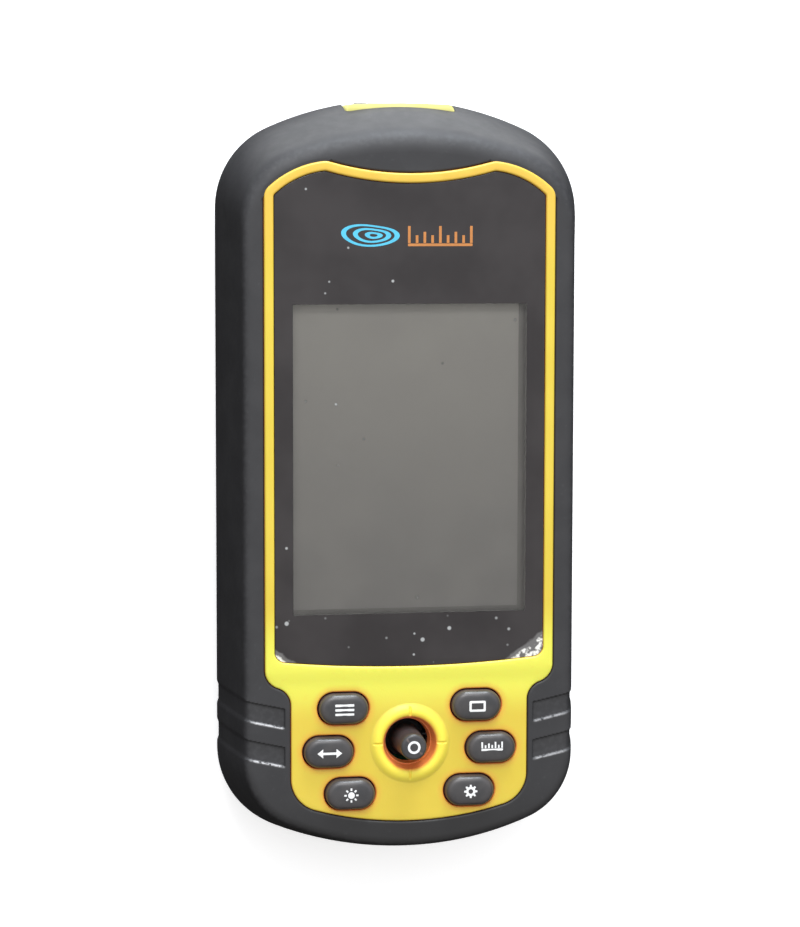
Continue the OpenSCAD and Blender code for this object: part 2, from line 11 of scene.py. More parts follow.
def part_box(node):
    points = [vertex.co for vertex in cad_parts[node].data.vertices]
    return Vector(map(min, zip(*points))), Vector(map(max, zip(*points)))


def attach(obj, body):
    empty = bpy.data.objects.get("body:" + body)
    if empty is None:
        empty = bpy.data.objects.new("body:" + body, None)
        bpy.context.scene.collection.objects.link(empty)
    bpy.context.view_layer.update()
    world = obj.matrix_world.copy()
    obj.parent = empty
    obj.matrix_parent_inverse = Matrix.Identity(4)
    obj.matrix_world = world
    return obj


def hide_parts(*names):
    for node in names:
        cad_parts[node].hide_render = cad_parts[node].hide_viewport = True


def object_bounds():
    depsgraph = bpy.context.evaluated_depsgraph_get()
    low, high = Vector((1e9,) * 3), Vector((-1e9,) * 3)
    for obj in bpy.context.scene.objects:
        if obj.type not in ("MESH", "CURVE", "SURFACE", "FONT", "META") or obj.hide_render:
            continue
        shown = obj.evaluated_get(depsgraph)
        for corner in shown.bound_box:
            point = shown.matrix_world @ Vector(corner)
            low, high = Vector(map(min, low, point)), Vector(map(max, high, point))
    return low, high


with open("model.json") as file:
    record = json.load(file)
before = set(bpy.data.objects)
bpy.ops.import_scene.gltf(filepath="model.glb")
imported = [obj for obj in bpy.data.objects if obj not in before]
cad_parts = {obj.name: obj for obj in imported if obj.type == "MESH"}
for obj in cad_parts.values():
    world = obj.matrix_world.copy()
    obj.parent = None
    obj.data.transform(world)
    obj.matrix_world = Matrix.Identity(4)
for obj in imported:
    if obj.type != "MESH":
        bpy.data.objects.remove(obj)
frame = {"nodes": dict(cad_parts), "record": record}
CAD_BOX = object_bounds()

# Shapes are worked out in millimetres and turned into metres when a mesh is made.
MM = 0.001


def box_mm(node):
    low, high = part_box(node)
    return np.array(low) / MM, np.array(high) / MM


def middle(node):
    low, high = box_mm(node)
    return (low + high) / 2


# ---- sizes taken from the CAD model

HALF_L = -CAD_BOX[0][1] / MM
HALF_W = CAD_BOX[1][0] / MM
LIP_Z = box_mm("front_bumper")[1][2]
FRONT_JOINT_Z = box_mm("front_bumper")[0][2]
REAR_JOINT_Z = box_mm("rear_bumper")[1][2]
WINDOW_LOW, WINDOW_HIGH = box_mm("display_window")
DECK_Z = WINDOW_HIGH[2] + 0.4
PLATE_Z = box_mm("lcd_panel")[0][2]
PLATE_TOP_Z = PLATE_Z + 2.0
STICK = middle("joystick_cap")[:2]
STICK_TOP = box_mm("joystick_cap")[1][2]
PIVOT_Z = middle("gimbal_ring")[2]
FLAP_HALF = box_mm("port_flap")[1][0]
KEYS = ("menu_key", "distance_key", "light_key", "area_key", "unit_key", "settings_key")

# Curves of the outlines, the same as in the CAD model
CORNER_R, TOP_R, BOTTOM_R = 18.5, 66.5, 70.0
SIDE_DRAFT, TOP_DRAFT, LIP_TOP_R, LIP_CORNER_R = 3.8, 7.5, 80.0, 14.5
SHELL_IN = 4.8
DECK_W, LOW_W = 30.55, 25.1
STEP_R, STEP_Y = 4.0, -HALF_L + 37.9
DECK_BOTTOM, DECK_BOTTOM_R, LOW_R = -HALF_L + 9, 72.0, 7.0
SHOULDER_R, BROW_R, PEAK_R, DIP_R = 3.0, 20.0, 4.0, 62.0
BROW = np.array([16.0, HALF_L - 32.8])
DIP = np.array([0.0, HALF_L - 15.4 + DIP_R])
RING_W = 2.1
WINDOW_BOTTOM, WINDOW_BOTTOM_R, WINDOW_CORNER_R = -HALF_L + 42, 260.0, 2.2
KEY_LEN, KEY_WID, KEY_GAP = 10.4, 6.4, 0.3
VIEW_W, VIEW_H, VIEW_Y = 49.2, 64.6, 5.4
COLLAR_H = 0.7
FUNNEL_R, FUNNEL_LOW_R = 5.5, 4.5


# ---- outlines, as closed lists of points

def arc(centre, r, a0, a1, step=2.0):
    n = max(1, math.ceil(abs(a1 - a0) / step))
    a = np.radians(a0 + (a1 - a0) * np.arange(n) / n)
    return np.array(centre) + r * np.stack([np.cos(a), np.sin(a)], axis=1)


def bearing(start, end):
    return math.degrees(math.atan2(end[1] - start[1], end[0] - start[0]))


def closed(half):
    """A right half from the bottom centre to the top centre, with its mirror image added."""
    half = np.concatenate(half)
    return np.concatenate([half, half[-2:0:-1] * [-1, 1]])


def form_outline(inset, w, low_end, top_end):
    """An outline with arched ends and rounded corners, each end as y, arch radius, corner radius."""
    (low_y, low_arch, low_corner), (top_y, top_arch, top_corner) = low_end, top_end
    low_x, top_x = w - low_corner, w - top_corner
    low_c, top_c = np.array([0, low_y + low_arch]), np.array([0, top_y - top_arch])
    low = np.array([low_x, low_c[1] - math.sqrt((low_arch - low_corner) ** 2 - low_x ** 2)])
    top = np.array([top_x, top_c[1] + math.sqrt((top_arch - top_corner) ** 2 - top_x ** 2)])
    return closed([
        arc(low_c, low_arch - inset, -90, bearing(low_c, low)),
        arc(low, low_corner - inset, bearing(low_c, low), 0),
        arc(top, top_corner - inset, 0, bearing(top_c, top)),
        arc(top_c, top_arch - inset, bearing(top_c, top), 90),
        [[0, top_y - inset]],
    ])


def body_outline(inset):
    return form_outline(inset, HALF_W, (-HALF_L, BOTTOM_R, CORNER_R), (HALF_L, TOP_R, CORNER_R))


def lip_outline(inset):
    """The front bumper's edge at its flat face, which lies further back at the top end."""
    low = (SIDE_DRAFT - HALF_L, BOTTOM_R - SIDE_DRAFT, CORNER_R - SIDE_DRAFT)
    return form_outline(inset, HALF_W - SIDE_DRAFT, low, (HALF_L - TOP_DRAFT, LIP_TOP_R, LIP_CORNER_R))


def crown(inset):
    """Right half of the deck's upper edge: shoulder, brow, peak and hollow."""
    sx = DECK_W - SHOULDER_R
    shoulder = np.array([sx, BROW[1] + math.sqrt((BROW_R - SHOULDER_R) ** 2 - (sx - BROW[0]) ** 2)])
    d = np.linalg.norm(DIP - BROW)
    r1, r2 = BROW_R - PEAK_R, DIP_R + PEAK_R
    along = (r1 * r1 - r2 * r2 + d * d) / (2 * d)
    u = (DIP - BROW) / d
    peak = BROW + along * u + math.sqrt(r1 * r1 - along * along) * np.array([u[1], -u[0]])
    return [
        arc(shoulder, SHOULDER_R - inset, 0, bearing(BROW, shoulder)),
        arc(BROW, BROW_R - inset, bearing(BROW, shoulder), bearing(BROW, peak)),
        arc(peak, PEAK_R - inset, bearing(BROW, peak), bearing(peak, DIP), step=4),
        arc(DIP, DIP_R + inset, bearing(DIP, peak), -90),
        [[0, DIP[1] - DIP_R - inset]],
    ]


def deck_outline(inset):
    low_c = np.array([0, DECK_BOTTOM + DECK_BOTTOM_R])
    x = LOW_W - LOW_R
    low = np.array([x, low_c[1] - math.sqrt((DECK_BOTTOM_R - LOW_R) ** 2 - x * x)])
    lean = math.degrees(math.acos((DECK_W - LOW_W - 2 * STEP_R) / (2 * STEP_R)))
    rise = STEP_R * math.sin(math.radians(lean))
    return closed([
        arc(low_c, DECK_BOTTOM_R - inset, -90, bearing(low_c, low)),
        arc(low, LOW_R - inset, bearing(low_c, low), 0),
        arc([LOW_W + STEP_R, STEP_Y - rise], STEP_R + inset, 180, lean),
        arc([DECK_W - STEP_R, STEP_Y + rise], STEP_R - inset, lean - 180, 0),
        *crown(inset),
    ])


def window_outline(inset):
    low_c = np.array([0, WINDOW_BOTTOM + WINDOW_BOTTOM_R])
    x = DECK_W - RING_W - WINDOW_CORNER_R
    low = np.array([x, low_c[1] - math.sqrt((WINDOW_BOTTOM_R - WINDOW_CORNER_R) ** 2 - x * x)])
    return closed([
        arc(low_c, WINDOW_BOTTOM_R - inset, -90, bearing(low_c, low), step=0.5),
        arc(low, WINDOW_CORNER_R - inset, bearing(low_c, low), 0, step=6),
        *crown(RING_W + inset),
    ])


def stadium(centre, length, width, inset, step=6.0, straight=8):
    r, x = width / 2 - inset, (length - width) / 2
    along = np.linspace(x, -x, straight, endpoint=False)[:, None] * [1, 0] + [0, r]
    half = np.concatenate([arc([x, 0], r, -90, 90, step), along])
    return np.concatenate([half, -half]) + centre


def circle(centre, r, n=96):
    a = 2 * math.pi * np.arange(n) / n
    return np.array(centre) + r * np.stack([np.cos(a), np.sin(a)], axis=1)


def rounded_rect(low, high, r, inset=0.0):
    (x0, y0), (x1, y1) = low, high
    return np.concatenate([
        arc([x1 - r, y0 + r], r - inset, -90, 0, 10), arc([x1 - r, y1 - r], r - inset, 0, 90, 10),
        arc([x0 + r, y1 - r], r - inset, 90, 180, 10), arc([x0 + r, y0 + r], r - inset, 180, 270, 10),
    ])


def rectangle(low, high, grow=0.0):
    (x0, y0), (x1, y1) = np.array(low) - grow, np.array(high) + grow
    return np.array([[x0, y0], [x1, y0], [x1, y1], [x0, y1]])


# ---- meshes

# Points closer than this, in metres, are one point
WELD, CAD_WELD = 2e-6, 1e-6


def show(name, data):
    """A new object in the scene with this mesh, light or camera."""
    obj = bpy.data.objects.new(name, data)
    bpy.context.scene.collection.objects.link(obj)
    return obj


def sheet(name, low, high):
    """A flat rectangle on the floor's plane, its corners in metres."""
    (x0, y0), (x1, y1) = low, high
    mesh = bpy.data.meshes.new(name)
    mesh.from_pydata([(x0, y0, 0), (x1, y0, 0), (x1, y1, 0), (x0, y1, 0)], [], [(0, 1, 2, 3)])
    return show(name, mesh)


def from_bmesh(name, b, smooth_angle):
    """A new object with smooth faces and sharp edges above the angle."""
    bmesh.ops.recalc_face_normals(b, faces=b.faces)
    mesh = bpy.data.meshes.new(name)
    b.to_mesh(mesh)
    b.free()
    mesh.polygons.foreach_set("use_smooth", [True] * len(mesh.polygons))
    mesh.set_sharp_from_angle(angle=math.radians(smooth_angle))
    return show(name, mesh)


def skin(n, count, wrap=False):
    """Faces between the rings of a stack, each of n points; wrap joins the last to the first."""
    faces = []
    for k in range(count if wrap else count - 1):
        a, b = k * n, (k + 1) % count * n
        faces += [(a + i, a + (i + 1) % n, b + (i + 1) % n, b + i) for i in range(n)]
    return faces


class Solid:
    """Collects closed pieces of surface, and makes one object of them."""

    def __init__(self):
        self.vertices, self.faces = [], []

    def add(self, vertices, faces):
        base = len(self.vertices)
        self.vertices.extend(np.asarray(vertices, float).tolist())
        self.faces.extend([tuple(base + i for i in f) for f in faces])

    def loft(self, rings, wrap=False):
        """A solid over a stack of rings, with a flat face on its first and last unless they join."""
        n, count = len(rings[0]), len(rings)
        faces = skin(n, count, wrap)
        if not wrap:
            faces += [tuple(range(n)), tuple(range((count - 1) * n, count * n))]
        self.add(np.concatenate(rings), faces)

    def make(self, name, smooth_angle=38.0):
        raw = bpy.data.meshes.new("raw")
        raw.from_pydata((np.array(self.vertices) * MM).tolist(), [], self.faces)
        b = bmesh.new()
        b.from_mesh(raw)
        bpy.data.meshes.remove(raw)
        bmesh.ops.remove_doubles(b, verts=b.verts, dist=WELD)
        return from_bmesh(name, b, smooth_angle)


def level(points, z):
    return np.column_stack([points, np.full(len(points), float(z))])


def lathe(profile, centre, n=96):
    """Rings for a turned shape: profile is a list of (radius, height)."""
    return [level(circle(centre, max(r, 1e-4), n), z) for r, z in profile]


def rounding(r, steps=5):
    """(inset, drop) pairs of a quarter-round edge, from the flat face to the wall."""
    a = np.radians(np.linspace(90, 0, steps + 1))
    return [(r * (1 - math.cos(t)), r * (1 - math.sin(t))) for t in a]


def inside(points, outline):
    a, b = outline, np.roll(outline, -1, axis=0)
    x, y = points[:, :1], points[:, 1:]
    cross = (a[:, 1] > y) != (b[:, 1] > y)
    with np.errstate(divide="ignore", invalid="ignore"):
        hit = x < (b[:, 0] - a[:, 0]) * (y - a[:, 1]) / (b[:, 1] - a[:, 1]) + a[:, 0]
    return (cross & hit).sum(axis=1) % 2 == 1


CLEAR_OF_EDGE = 0.45  # of the pitch, from the outlines to the nearest point of the grid


def flat_face(outer, holes, pitch):
    """Triangles between an outline and its holes, with a grid of points inside when pitch is set."""
    loops = [outer, *holes]
    points = np.concatenate(loops)
    edges, base = [], 0
    for loop in loops:
        n = len(loop)
        edges += [(base + i, base + (i + 1) % n) for i in range(n)]
        base += n
    extra = np.empty((0, 2))
    if pitch:
        xs = np.arange(outer[:, 0].min(), outer[:, 0].max(), pitch)
        ys = np.arange(outer[:, 1].min(), outer[:, 1].max(), pitch)
        grid = np.array(np.meshgrid(xs, ys)).reshape(2, -1).T
        near = np.linalg.norm(grid[:, None] - points[None], axis=2).min(axis=1)
        keep = inside(grid, outer) & (near > pitch * CLEAR_OF_EDGE)
        for hole in holes:
            keep &= ~inside(grid, hole)
        extra = grid[keep]
    everything = np.concatenate([points, extra])
    v, _, f, _, _, _ = delaunay_2d_cdt([Vector(p) for p in everything], edges, [], 1, 1e-5)
    v = np.array([tuple(p) for p in v])
    mids = np.array([v[list(t)].mean(axis=0) for t in f])
    good = inside(mids, outer)
    for hole in holes:
        good &= ~inside(mids, hole)
    return v, [t for t, g in zip(f, good) if g]


def plate(solid, outlines, z_low, z_high, edge, pitch=0.0, relief=None):
    """A plate with a rounded upper edge. Each outline is a function of its inset into the plate,
    the outer one first and the holes after it; relief lowers the upper face as it is told."""
    top = [outline(edge) for outline in outlines]
    parts = []
    v, f = flat_face(top[0], top[1:], pitch)
    parts.append((level(v, z_high), f))
    v, f = flat_face(outlines[0](0), [outline(0) for outline in outlines[1:]], 0)
    parts.append((level(v, z_low), f))
    for outline in outlines:
        rows = rounding(edge) if edge else [(0, 0)]
        rings = [level(outline(inset), z_high - drop) for inset, drop in rows]
        rings.append(level(outline(0), z_low))
        parts.append((np.concatenate(rings), skin(len(rings[0]), len(rings))))
    for v, f in parts:
        if relief is not None:
            share = np.clip((v[:, 2] - z_low) / (z_high - z_low), 0, 1)
            v[:, 2] -= relief(v[:, :2]) * share
        solid.add(v, f)


def hole(outline):
    """An outline that grows, where the outer one shrinks, as the edge is rounded."""
    return lambda inset: outline(-inset)


def smoothstep(value, low, high):
    t = np.clip((value - low) / (high - low), 0, 1)
    return t * t * (3 - 2 * t)


def mark(obj, name, field):
    """Stores a value for each point of a mesh, worked out from its place, for the materials to read."""
    points = np.array([v.co for v in obj.data.vertices]) / MM
    attribute = obj.data.attributes.new(name, "FLOAT", "POINT")
    attribute.data.foreach_set("value", field(points).astype(np.float32))


# ---- rubber bumpers

# Rays that leave the body's middle line: level along the sides, and in a fan at each end
FAN_LOW, FAN_HIGH, FAN_STEP = -60.0, 58.0, 1.5
FINE_TOP, FINE_PITCH, COARSE_PITCH = -38.0, 0.2, 1.5
JOINT_ROUND, LIP_ROUND = 0.3, 0.4

# The slope's curve, and how far the ridge at its top drops and reaches in
SLOPE_CURVE, SLOPE_STEPS = 1.3, 24
RIDGE_DROP, RIDGE_REACH, RIDGE_STEPS = 1.5, 1.7, 10
REAR_DRAFT, REAR_RIDGE = 3.2, 0.6
# Towards the top end the front ridge softens into a wide roll
SOFT_DROP, SOFT_REACH, SOFT_CURVE, RIDGE_SOFT_Y = 3.0, 3.4, 1.55, (48.0, 68.0)

LIP_GAP, LIP_STEPS, BACK_STEPS = 0.15, 40, 4
WALL_IN, BACK_IN, RIM_Z = SHELL_IN - 0.1, 6.8, 1.5
LEDGE_Z, LIP_WALL, PLATE_GAP = 24.25, 1.1, 0.05

# Two slanting grips on each side of the keys: lower edges where they start, rise, and size.
# They are shallower and softer on the side walls, and fade out towards the case joint.
GRIP_LOWS, GRIP_X, GRIP_RISE, GRIP_H, GRIP_END = (-50.4, -58.5), 26.9, 0.222, 4.0, 26.3
GRIP_DEPTH, GRIP_SIDE_DEPTH, GRIP_EDGE, GRIP_SIDE_EDGE = 0.55, 0.32, 0.25, 1.3
GRIP_FRONT, GRIP_FADE = (-2.2, -0.3), (5.0, 12.0)
# The light line along each grip's lower edge: wear and a painted highlight
RUB_OFFSET, RUB_WIDTH, RUB_LENGTH, RUB_RIGHT = 0.12, 0.17, (5.4, 7.5), 0.55
NOTCH_GAP, NOTCH_LOW, NOTCH_TOP, NOTCH_ROUND, NOTCH_IN = 0.3, 6.5, 21.6, 1.2, 6.0


def rays():
    """Start and direction of each ray, for the right half."""
    def fan(y, start, end):
        a = np.radians(np.arange(start, end, FAN_STEP))
        return np.column_stack([0 * a, 0 * a + y, np.cos(a), np.sin(a)])

    y = np.concatenate([
        np.arange(FAN_LOW, FINE_TOP, FINE_PITCH), np.arange(FINE_TOP, FAN_HIGH, COARSE_PITCH)])
    sides = np.column_stack([0 * y, y, 0 * y + 1, 0 * y])
    return np.concatenate([fan(FAN_LOW, -90, -1), sides, fan(FAN_HIGH, 0, 90 + FAN_STEP / 2)])


RAYS = rays()


def cast(outline):
    """Where the rays leave an outline, with the mirrored half."""
    edge = np.roll(outline, -1, axis=0) - outline
    start, d = RAYS[:, None, :2], RAYS[:, None, 2:]
    to = outline - start
    with np.errstate(divide="ignore", invalid="ignore"):
        across = d[..., 0] * edge[:, 1] - d[..., 1] * edge[:, 0]
        t = (to[..., 0] * edge[:, 1] - to[..., 1] * edge[:, 0]) / across
        u = (to[..., 0] * d[..., 1] - to[..., 1] * d[..., 0]) / across
    t = np.where((u > -1e-9) & (u < 1 + 1e-9), t, 0).max(axis=1)
    return closed([RAYS[:, :2] + t[:, None] * RAYS[:, 2:]])


def bumper_wall(z_joint, z_face, face_outline, up):
    """Rings up the outside of a bumper, from the case joint to its flat face.
    The flat face's outline is a function of its inset."""
    rings = [level(cast(body_outline(inset)), z_joint + up * drop)
             for inset, drop in rounding(JOINT_ROUND, 4)]
    start = rings[-1]
    end = level(cast(face_outline(0)), z_face)
    soft = smoothstep(end[:, 1], *RIDGE_SOFT_Y)[:, None] if up > 0 else np.zeros((len(end), 1))
    drop = RIDGE_DROP + (SOFT_DROP - RIDGE_DROP) * soft[:, 0]
    curve = SLOPE_CURVE + (SOFT_CURVE - SLOPE_CURVE) * soft
    near, far = (level(cast(face_outline(reach)), z_face) for reach in (RIDGE_REACH, SOFT_REACH))
    flat = near + (far - near) * soft
    last = 1 - drop / abs(z_face - z_joint)
    for t in np.linspace(0, 1, SLOPE_STEPS + 1)[1:]:
        share = t * last[:, None]
        ring = start + (end - start) * share ** curve
        ring[:, 2] = start[:, 2] + (end - start)[:, 2] * share[:, 0]
        rings.append(ring)
    edge = rings[-1]
    lean = curve * last[:, None] ** (curve - 1) * (1 - last[:, None])
    corner = edge + (end - start) * lean
    corner[:, 2] = z_face
    for t in np.linspace(0, 1, RIDGE_STEPS + 1)[1:]:
        rings.append((1 - t) ** 2 * edge + 2 * t * (1 - t) * corner + t * t * flat)
    return rings


def between(ring_a, ring_b, steps):
    return [ring_a + (ring_b - ring_a) * t for t in np.linspace(0, 1, steps + 1)[1:]]


def grips(points):
    """How deep the grips are at each point."""
    x, y, z = abs(points[..., 0]), points[..., 1], points[..., 2]
    rise = y - GRIP_RISE * (x - GRIP_X)
    front = smoothstep(z - LIP_Z, *GRIP_FRONT)
    soft = GRIP_SIDE_EDGE + (GRIP_EDGE - GRIP_SIDE_EDGE) * front
    deep = (GRIP_SIDE_DEPTH + (GRIP_DEPTH - GRIP_SIDE_DEPTH) * front) * smoothstep(z, *GRIP_FADE)
    band = 0
    for low in GRIP_LOWS:
        lower = np.clip((rise - low) / soft + 0.5, 0, 1)
        upper = np.clip((low + GRIP_H - rise) / soft + 0.5, 0, 1)
        band = band + (lower * upper) ** 2 * (3 - 2 * lower * upper)
    return deep * band * smoothstep(x, GRIP_END, GRIP_END + GRIP_EDGE)


def grip_rub_and_highlight(points):
    """A light line along the lower edge of each grip: wear from rubbing, and a painted highlight where that
    edge faces the light.
    """
    x, y, z = abs(points[:, 0]), points[:, 1], points[:, 2]
    rise = y - GRIP_RISE * (x - GRIP_X)
    line = sum(np.exp(-((rise - low + RUB_OFFSET) / RUB_WIDTH) ** 2) for low in GRIP_LOWS)
    ends = smoothstep(x, GRIP_END, GRIP_END + 1) * (1 - smoothstep(x - GRIP_X, *RUB_LENGTH))
    side = np.where(points[:, 0] < 0, 1.0, RUB_RIGHT)
    return line * ends * side * (z > LIP_Z - RIDGE_DROP)


def ridge_wear_and_highlight(z_face):
    """Highest along the rounded ridge between a bumper's slope and its flat face, where wear and a painted
    highlight go.
    """
    def field(points):
        below = abs(points[:, 2] - z_face)
        return smoothstep(-below, -RIDGE_DROP * 1.6, -RIDGE_DROP * 0.5) * smoothstep(below, 0.02, 0.4)
    return field


def pressed(rings, up):
    """The rings with the grips pressed into them, along the surface's own normals."""
    grid = np.array(rings)
    normal = np.cross(np.roll(grid, -1, axis=1) - np.roll(grid, 1, axis=1), np.gradient(grid, axis=0))
    normal *= up / np.linalg.norm(normal, axis=2, keepdims=True)
    return list(grid - normal * grips(grid)[..., None])


def notch(obj):
    """Cuts the bumper away around the port flap."""
    half = FLAP_HALF + NOTCH_GAP
    shape = rounded_rect([-half, NOTCH_LOW], [half, NOTCH_TOP], NOTCH_ROUND)
    block = Solid()
    block.loft([np.column_stack([shape[:, 0], np.full(len(shape), y), shape[:, 1]])
                for y in (HALF_L - NOTCH_IN, HALF_L + 1)])
    cutter = block.make("notch_cutter")
    modifier = obj.modifiers.new("notch", "BOOLEAN")
    modifier.operation, modifier.solver, modifier.object = "DIFFERENCE", "EXACT", cutter
    graph = bpy.context.evaluated_depsgraph_get()
    cut = bpy.data.meshes.new_from_object(obj.evaluated_get(graph))
    obj.modifiers.clear()
    obj.data = cut
    bpy.data.objects.remove(cutter)


def bumper(name, z_joint, z_face, face_outline, opening, steps, inside_rings):
    """A bumper from the case joint over its slope and flat face to the rim of its opening,
    whose outline is a function of its inset, and back along the inside."""
    up = math.copysign(1.0, z_face - z_joint)
    wall = bumper_wall(z_joint, z_face, face_outline, up)
    rim = level(cast(opening(LIP_ROUND)), z_face)
    rings = pressed(wall + between(wall[-1], rim, steps), up)
    rings += [level(cast(opening(inset)), z_face - up * drop) for inset, drop in rounding(LIP_ROUND)[1:]]
    solid = Solid()
    solid.loft(rings + inside_rings, wrap=True)
    obj = solid.make(name)
    notch(obj)
    # Ridges: wear and a painted highlight
    mark(obj, "ridge", ridge_wear_and_highlight(z_face))
    return obj


def front_bumper():
    """The rubber round the front, up to its lip beside the yellow deck."""
    edge, high, low = cast(deck_outline(-LIP_GAP)), cast(lip_outline(LIP_WALL)), cast(body_outline(WALL_IN))
    under = PLATE_TOP_Z + PLATE_GAP
    inside_rings = [level(edge, under), level(high, under), level(high, LEDGE_Z),
                    level(low, LEDGE_Z), level(low, FRONT_JOINT_Z)]
    obj = bumper("front_bumper_look", FRONT_JOINT_Z, LIP_Z, lip_outline,
                 lambda inset: deck_outline(-LIP_GAP - inset), LIP_STEPS, inside_rings)
    # Light lines along the grips: wear and a painted highlight
    mark(obj, "worn", grip_rub_and_highlight)
    return obj


def rear_bumper():
    """The rubber round the back, in to the rim of the rear housing."""
    edge, inner = cast(body_outline(BACK_IN)), cast(body_outline(WALL_IN))
    inside_rings = [level(edge, RIM_Z), level(inner, RIM_Z), level(inner, REAR_JOINT_Z)]
    return bumper("rear_bumper_look", REAR_JOINT_Z, 0,
                  lambda inset: body_outline(REAR_DRAFT + inset * REAR_RIDGE),
                  lambda inset: body_outline(BACK_IN - inset), BACK_STEPS, inside_rings)


# ---- yellow front housing

DECK_EDGE, DECK_PITCH, TRIM_LAP, WINDOW_GAP = 0.45, 1.0, 0.02, 0.1
DECK_DROP, DROP_FROM, DROP_LENGTH = 0.35, WINDOW_BOTTOM - 0.3, 4.0
BEAD_R, BEAD_CREST_R, BEAD_FOOT, BEAD_LAP, CREST_ROUND = 8.6, 6.7, 0.02, 1.2, 0.9
NICK_DEPTH, NICK_W, NICK_FADE = 0.32, 0.24, (0.25, 0.6)
COLLAR_COLUMNS = 720


def deck_relief(points):
    """The deck steps down softly below the window."""
    return DECK_DROP * smoothstep(DROP_FROM - points[:, 1], 0, DROP_LENGTH)


def trimmed(node, z):
    """A CAD node's mesh below a level, closed where it is cut."""
    b = bmesh.new()
    b.from_mesh(frame["nodes"][node].data)
    bmesh.ops.remove_doubles(b, verts=b.verts, dist=CAD_WELD)
    everything = b.verts[:] + b.edges[:] + b.faces[:]
    cut = bmesh.ops.bisect_plane(
        b, geom=everything, dist=1e-7, plane_co=(0, 0, z * MM), plane_no=(0, 0, 1), clear_outer=True)
    rim = [e for e in cut["geom_cut"] if isinstance(e, bmesh.types.BMEdge)]
    bmesh.ops.triangle_fill(b, use_beauty=True, edges=rim)
    b.verts.index_update()
    vertices = np.array([v.co for v in b.verts]) / MM
    faces = [tuple(v.index for v in f.verts) for f in b.faces]
    b.free()
    return vertices, faces


def collar(solid):
    """Bead and funnel around the joystick, with a nick at each of the four directions."""
    deck = DECK_Z - DECK_DROP
    foot, crest = deck - BEAD_FOOT, deck - BEAD_FOOT + COLLAR_H
    throat = crest - CREST_ROUND
    profile = [(FUNNEL_LOW_R, PLATE_Z), (FUNNEL_LOW_R + 2, PLATE_Z),
               (BEAD_R, PLATE_Z + 1), (BEAD_R, foot - 0.01)]
    for t in np.linspace(0, 1, 13):
        swell = 0.5 - 0.5 * math.cos(math.pi * t ** 0.8)
        profile.append((BEAD_R - (BEAD_R - BEAD_CREST_R) * t, foot + COLLAR_H * swell))
    for a in np.linspace(0, math.pi / 2, 9)[1:]:
        r = BEAD_CREST_R - (BEAD_CREST_R - FUNNEL_R) * math.sin(a)
        profile.append((r, crest - CREST_ROUND * (1 - math.cos(a))))
    for t in np.linspace(0, 1, 7)[1:-1]:
        profile.append((FUNNEL_R - (FUNNEL_R - FUNNEL_LOW_R) * t, throat - (throat - PLATE_Z) * t))
    rings = np.array(lathe(profile, STICK, COLLAR_COLUMNS))
    turn = 360 * np.arange(COLLAR_COLUMNS) / COLLAR_COLUMNS
    off = np.radians((turn + 45) % 90 - 45)
    for ring, (r, z) in zip(rings, profile):
        share = smoothstep(z - deck, *NICK_FADE)
        ring[:, 2] -= NICK_DEPTH * share * np.exp(-((off * r / NICK_W) ** 4))
    solid.loft(list(rings), wrap=True)


def front_housing():
    """The yellow front: the CAD shell below the deck, and a finer deck and collar on it."""
    housing = Solid()
    housing.add(*trimmed("front_housing", PLATE_TOP_Z + TRIM_LAP))
    outlines = [deck_outline, hole(lambda inset: window_outline(inset - WINDOW_GAP))]
    for name in KEYS:
        at = middle(name)[:2]
        outlines.append(hole(lambda inset, at=at: stadium(at, KEY_LEN, KEY_WID, inset - KEY_GAP)))
    outlines.append(lambda inset: circle(STICK, BEAD_R - BEAD_LAP))
    plate(housing, outlines, PLATE_TOP_Z, DECK_Z, DECK_EDGE, DECK_PITCH, deck_relief)
    collar(housing)
    return housing.make("front_housing_look", smooth_angle=30)


# ---- keys and joystick

KEY_ROUND, KEY_CROWN, KEY_STEM_R = 1.25, 0.30, 1.6
KEY_FLANGE, KEY_FLANGE_T, KEY_FLANGE_EDGE = 0.8, 0.9, 0.1
KEY_PITCH, PRINT_PITCH, PRINT_H, PRINT_DEEP = 0.45, 0.35, 0.03, 0.3


def dome(points, at):
    """How far the domed top of a key lies below its highest point."""
    x, y = (np.asarray(points)[:, :2] - at).T
    return KEY_CROWN * ((x / (KEY_LEN / 2)) ** 2 + (y / (KEY_WID / 2)) ** 2)


def key(name):
    """A key: its stem, the flange under the deck, and the domed oblong top."""
    low, high = box_mm(name)
    at, top = middle(name)[:2], high[2]
    flange_z = box_mm("keypad_mat")[0][2]
    flange_top, edge = flange_z + KEY_FLANGE_T, KEY_FLANGE_EDGE
    cap = Solid()
    cap.loft(lathe([(KEY_STEM_R, low[2]), (KEY_STEM_R, flange_z + edge)], at, 48))
    cap.loft([level(stadium(at, KEY_LEN, KEY_WID, inset - KEY_FLANGE), z) for inset, z in (
        (edge, flange_z), (0, flange_z + edge), (0, flange_top - edge), (edge, flange_top))])
    plate(cap, [lambda inset: stadium(at, KEY_LEN, KEY_WID, inset)], flange_top - edge / 2, top,
          KEY_ROUND, KEY_PITCH, lambda points: dome(points, at))
    return cap.make(name + "_look", smooth_angle=50)


def bars(count, width, height, pitch):
    return [[rounded_rect([-width / 2, y - height / 2], [width / 2, y + height / 2], height * 0.3)]
            for y in (np.arange(count) - (count - 1) / 2) * pitch]


def arrows(length, head, thickness):
    """A double-ended arrow."""
    x0, x1 = length / 2 - head, length / 2
    half = [[x0, -thickness / 2], [x0, -head * 0.8], [x1, 0], [x0, head * 0.8], [x0, thickness / 2]]
    return [[np.array(half + [[-x, -y] for x, y in half])]]


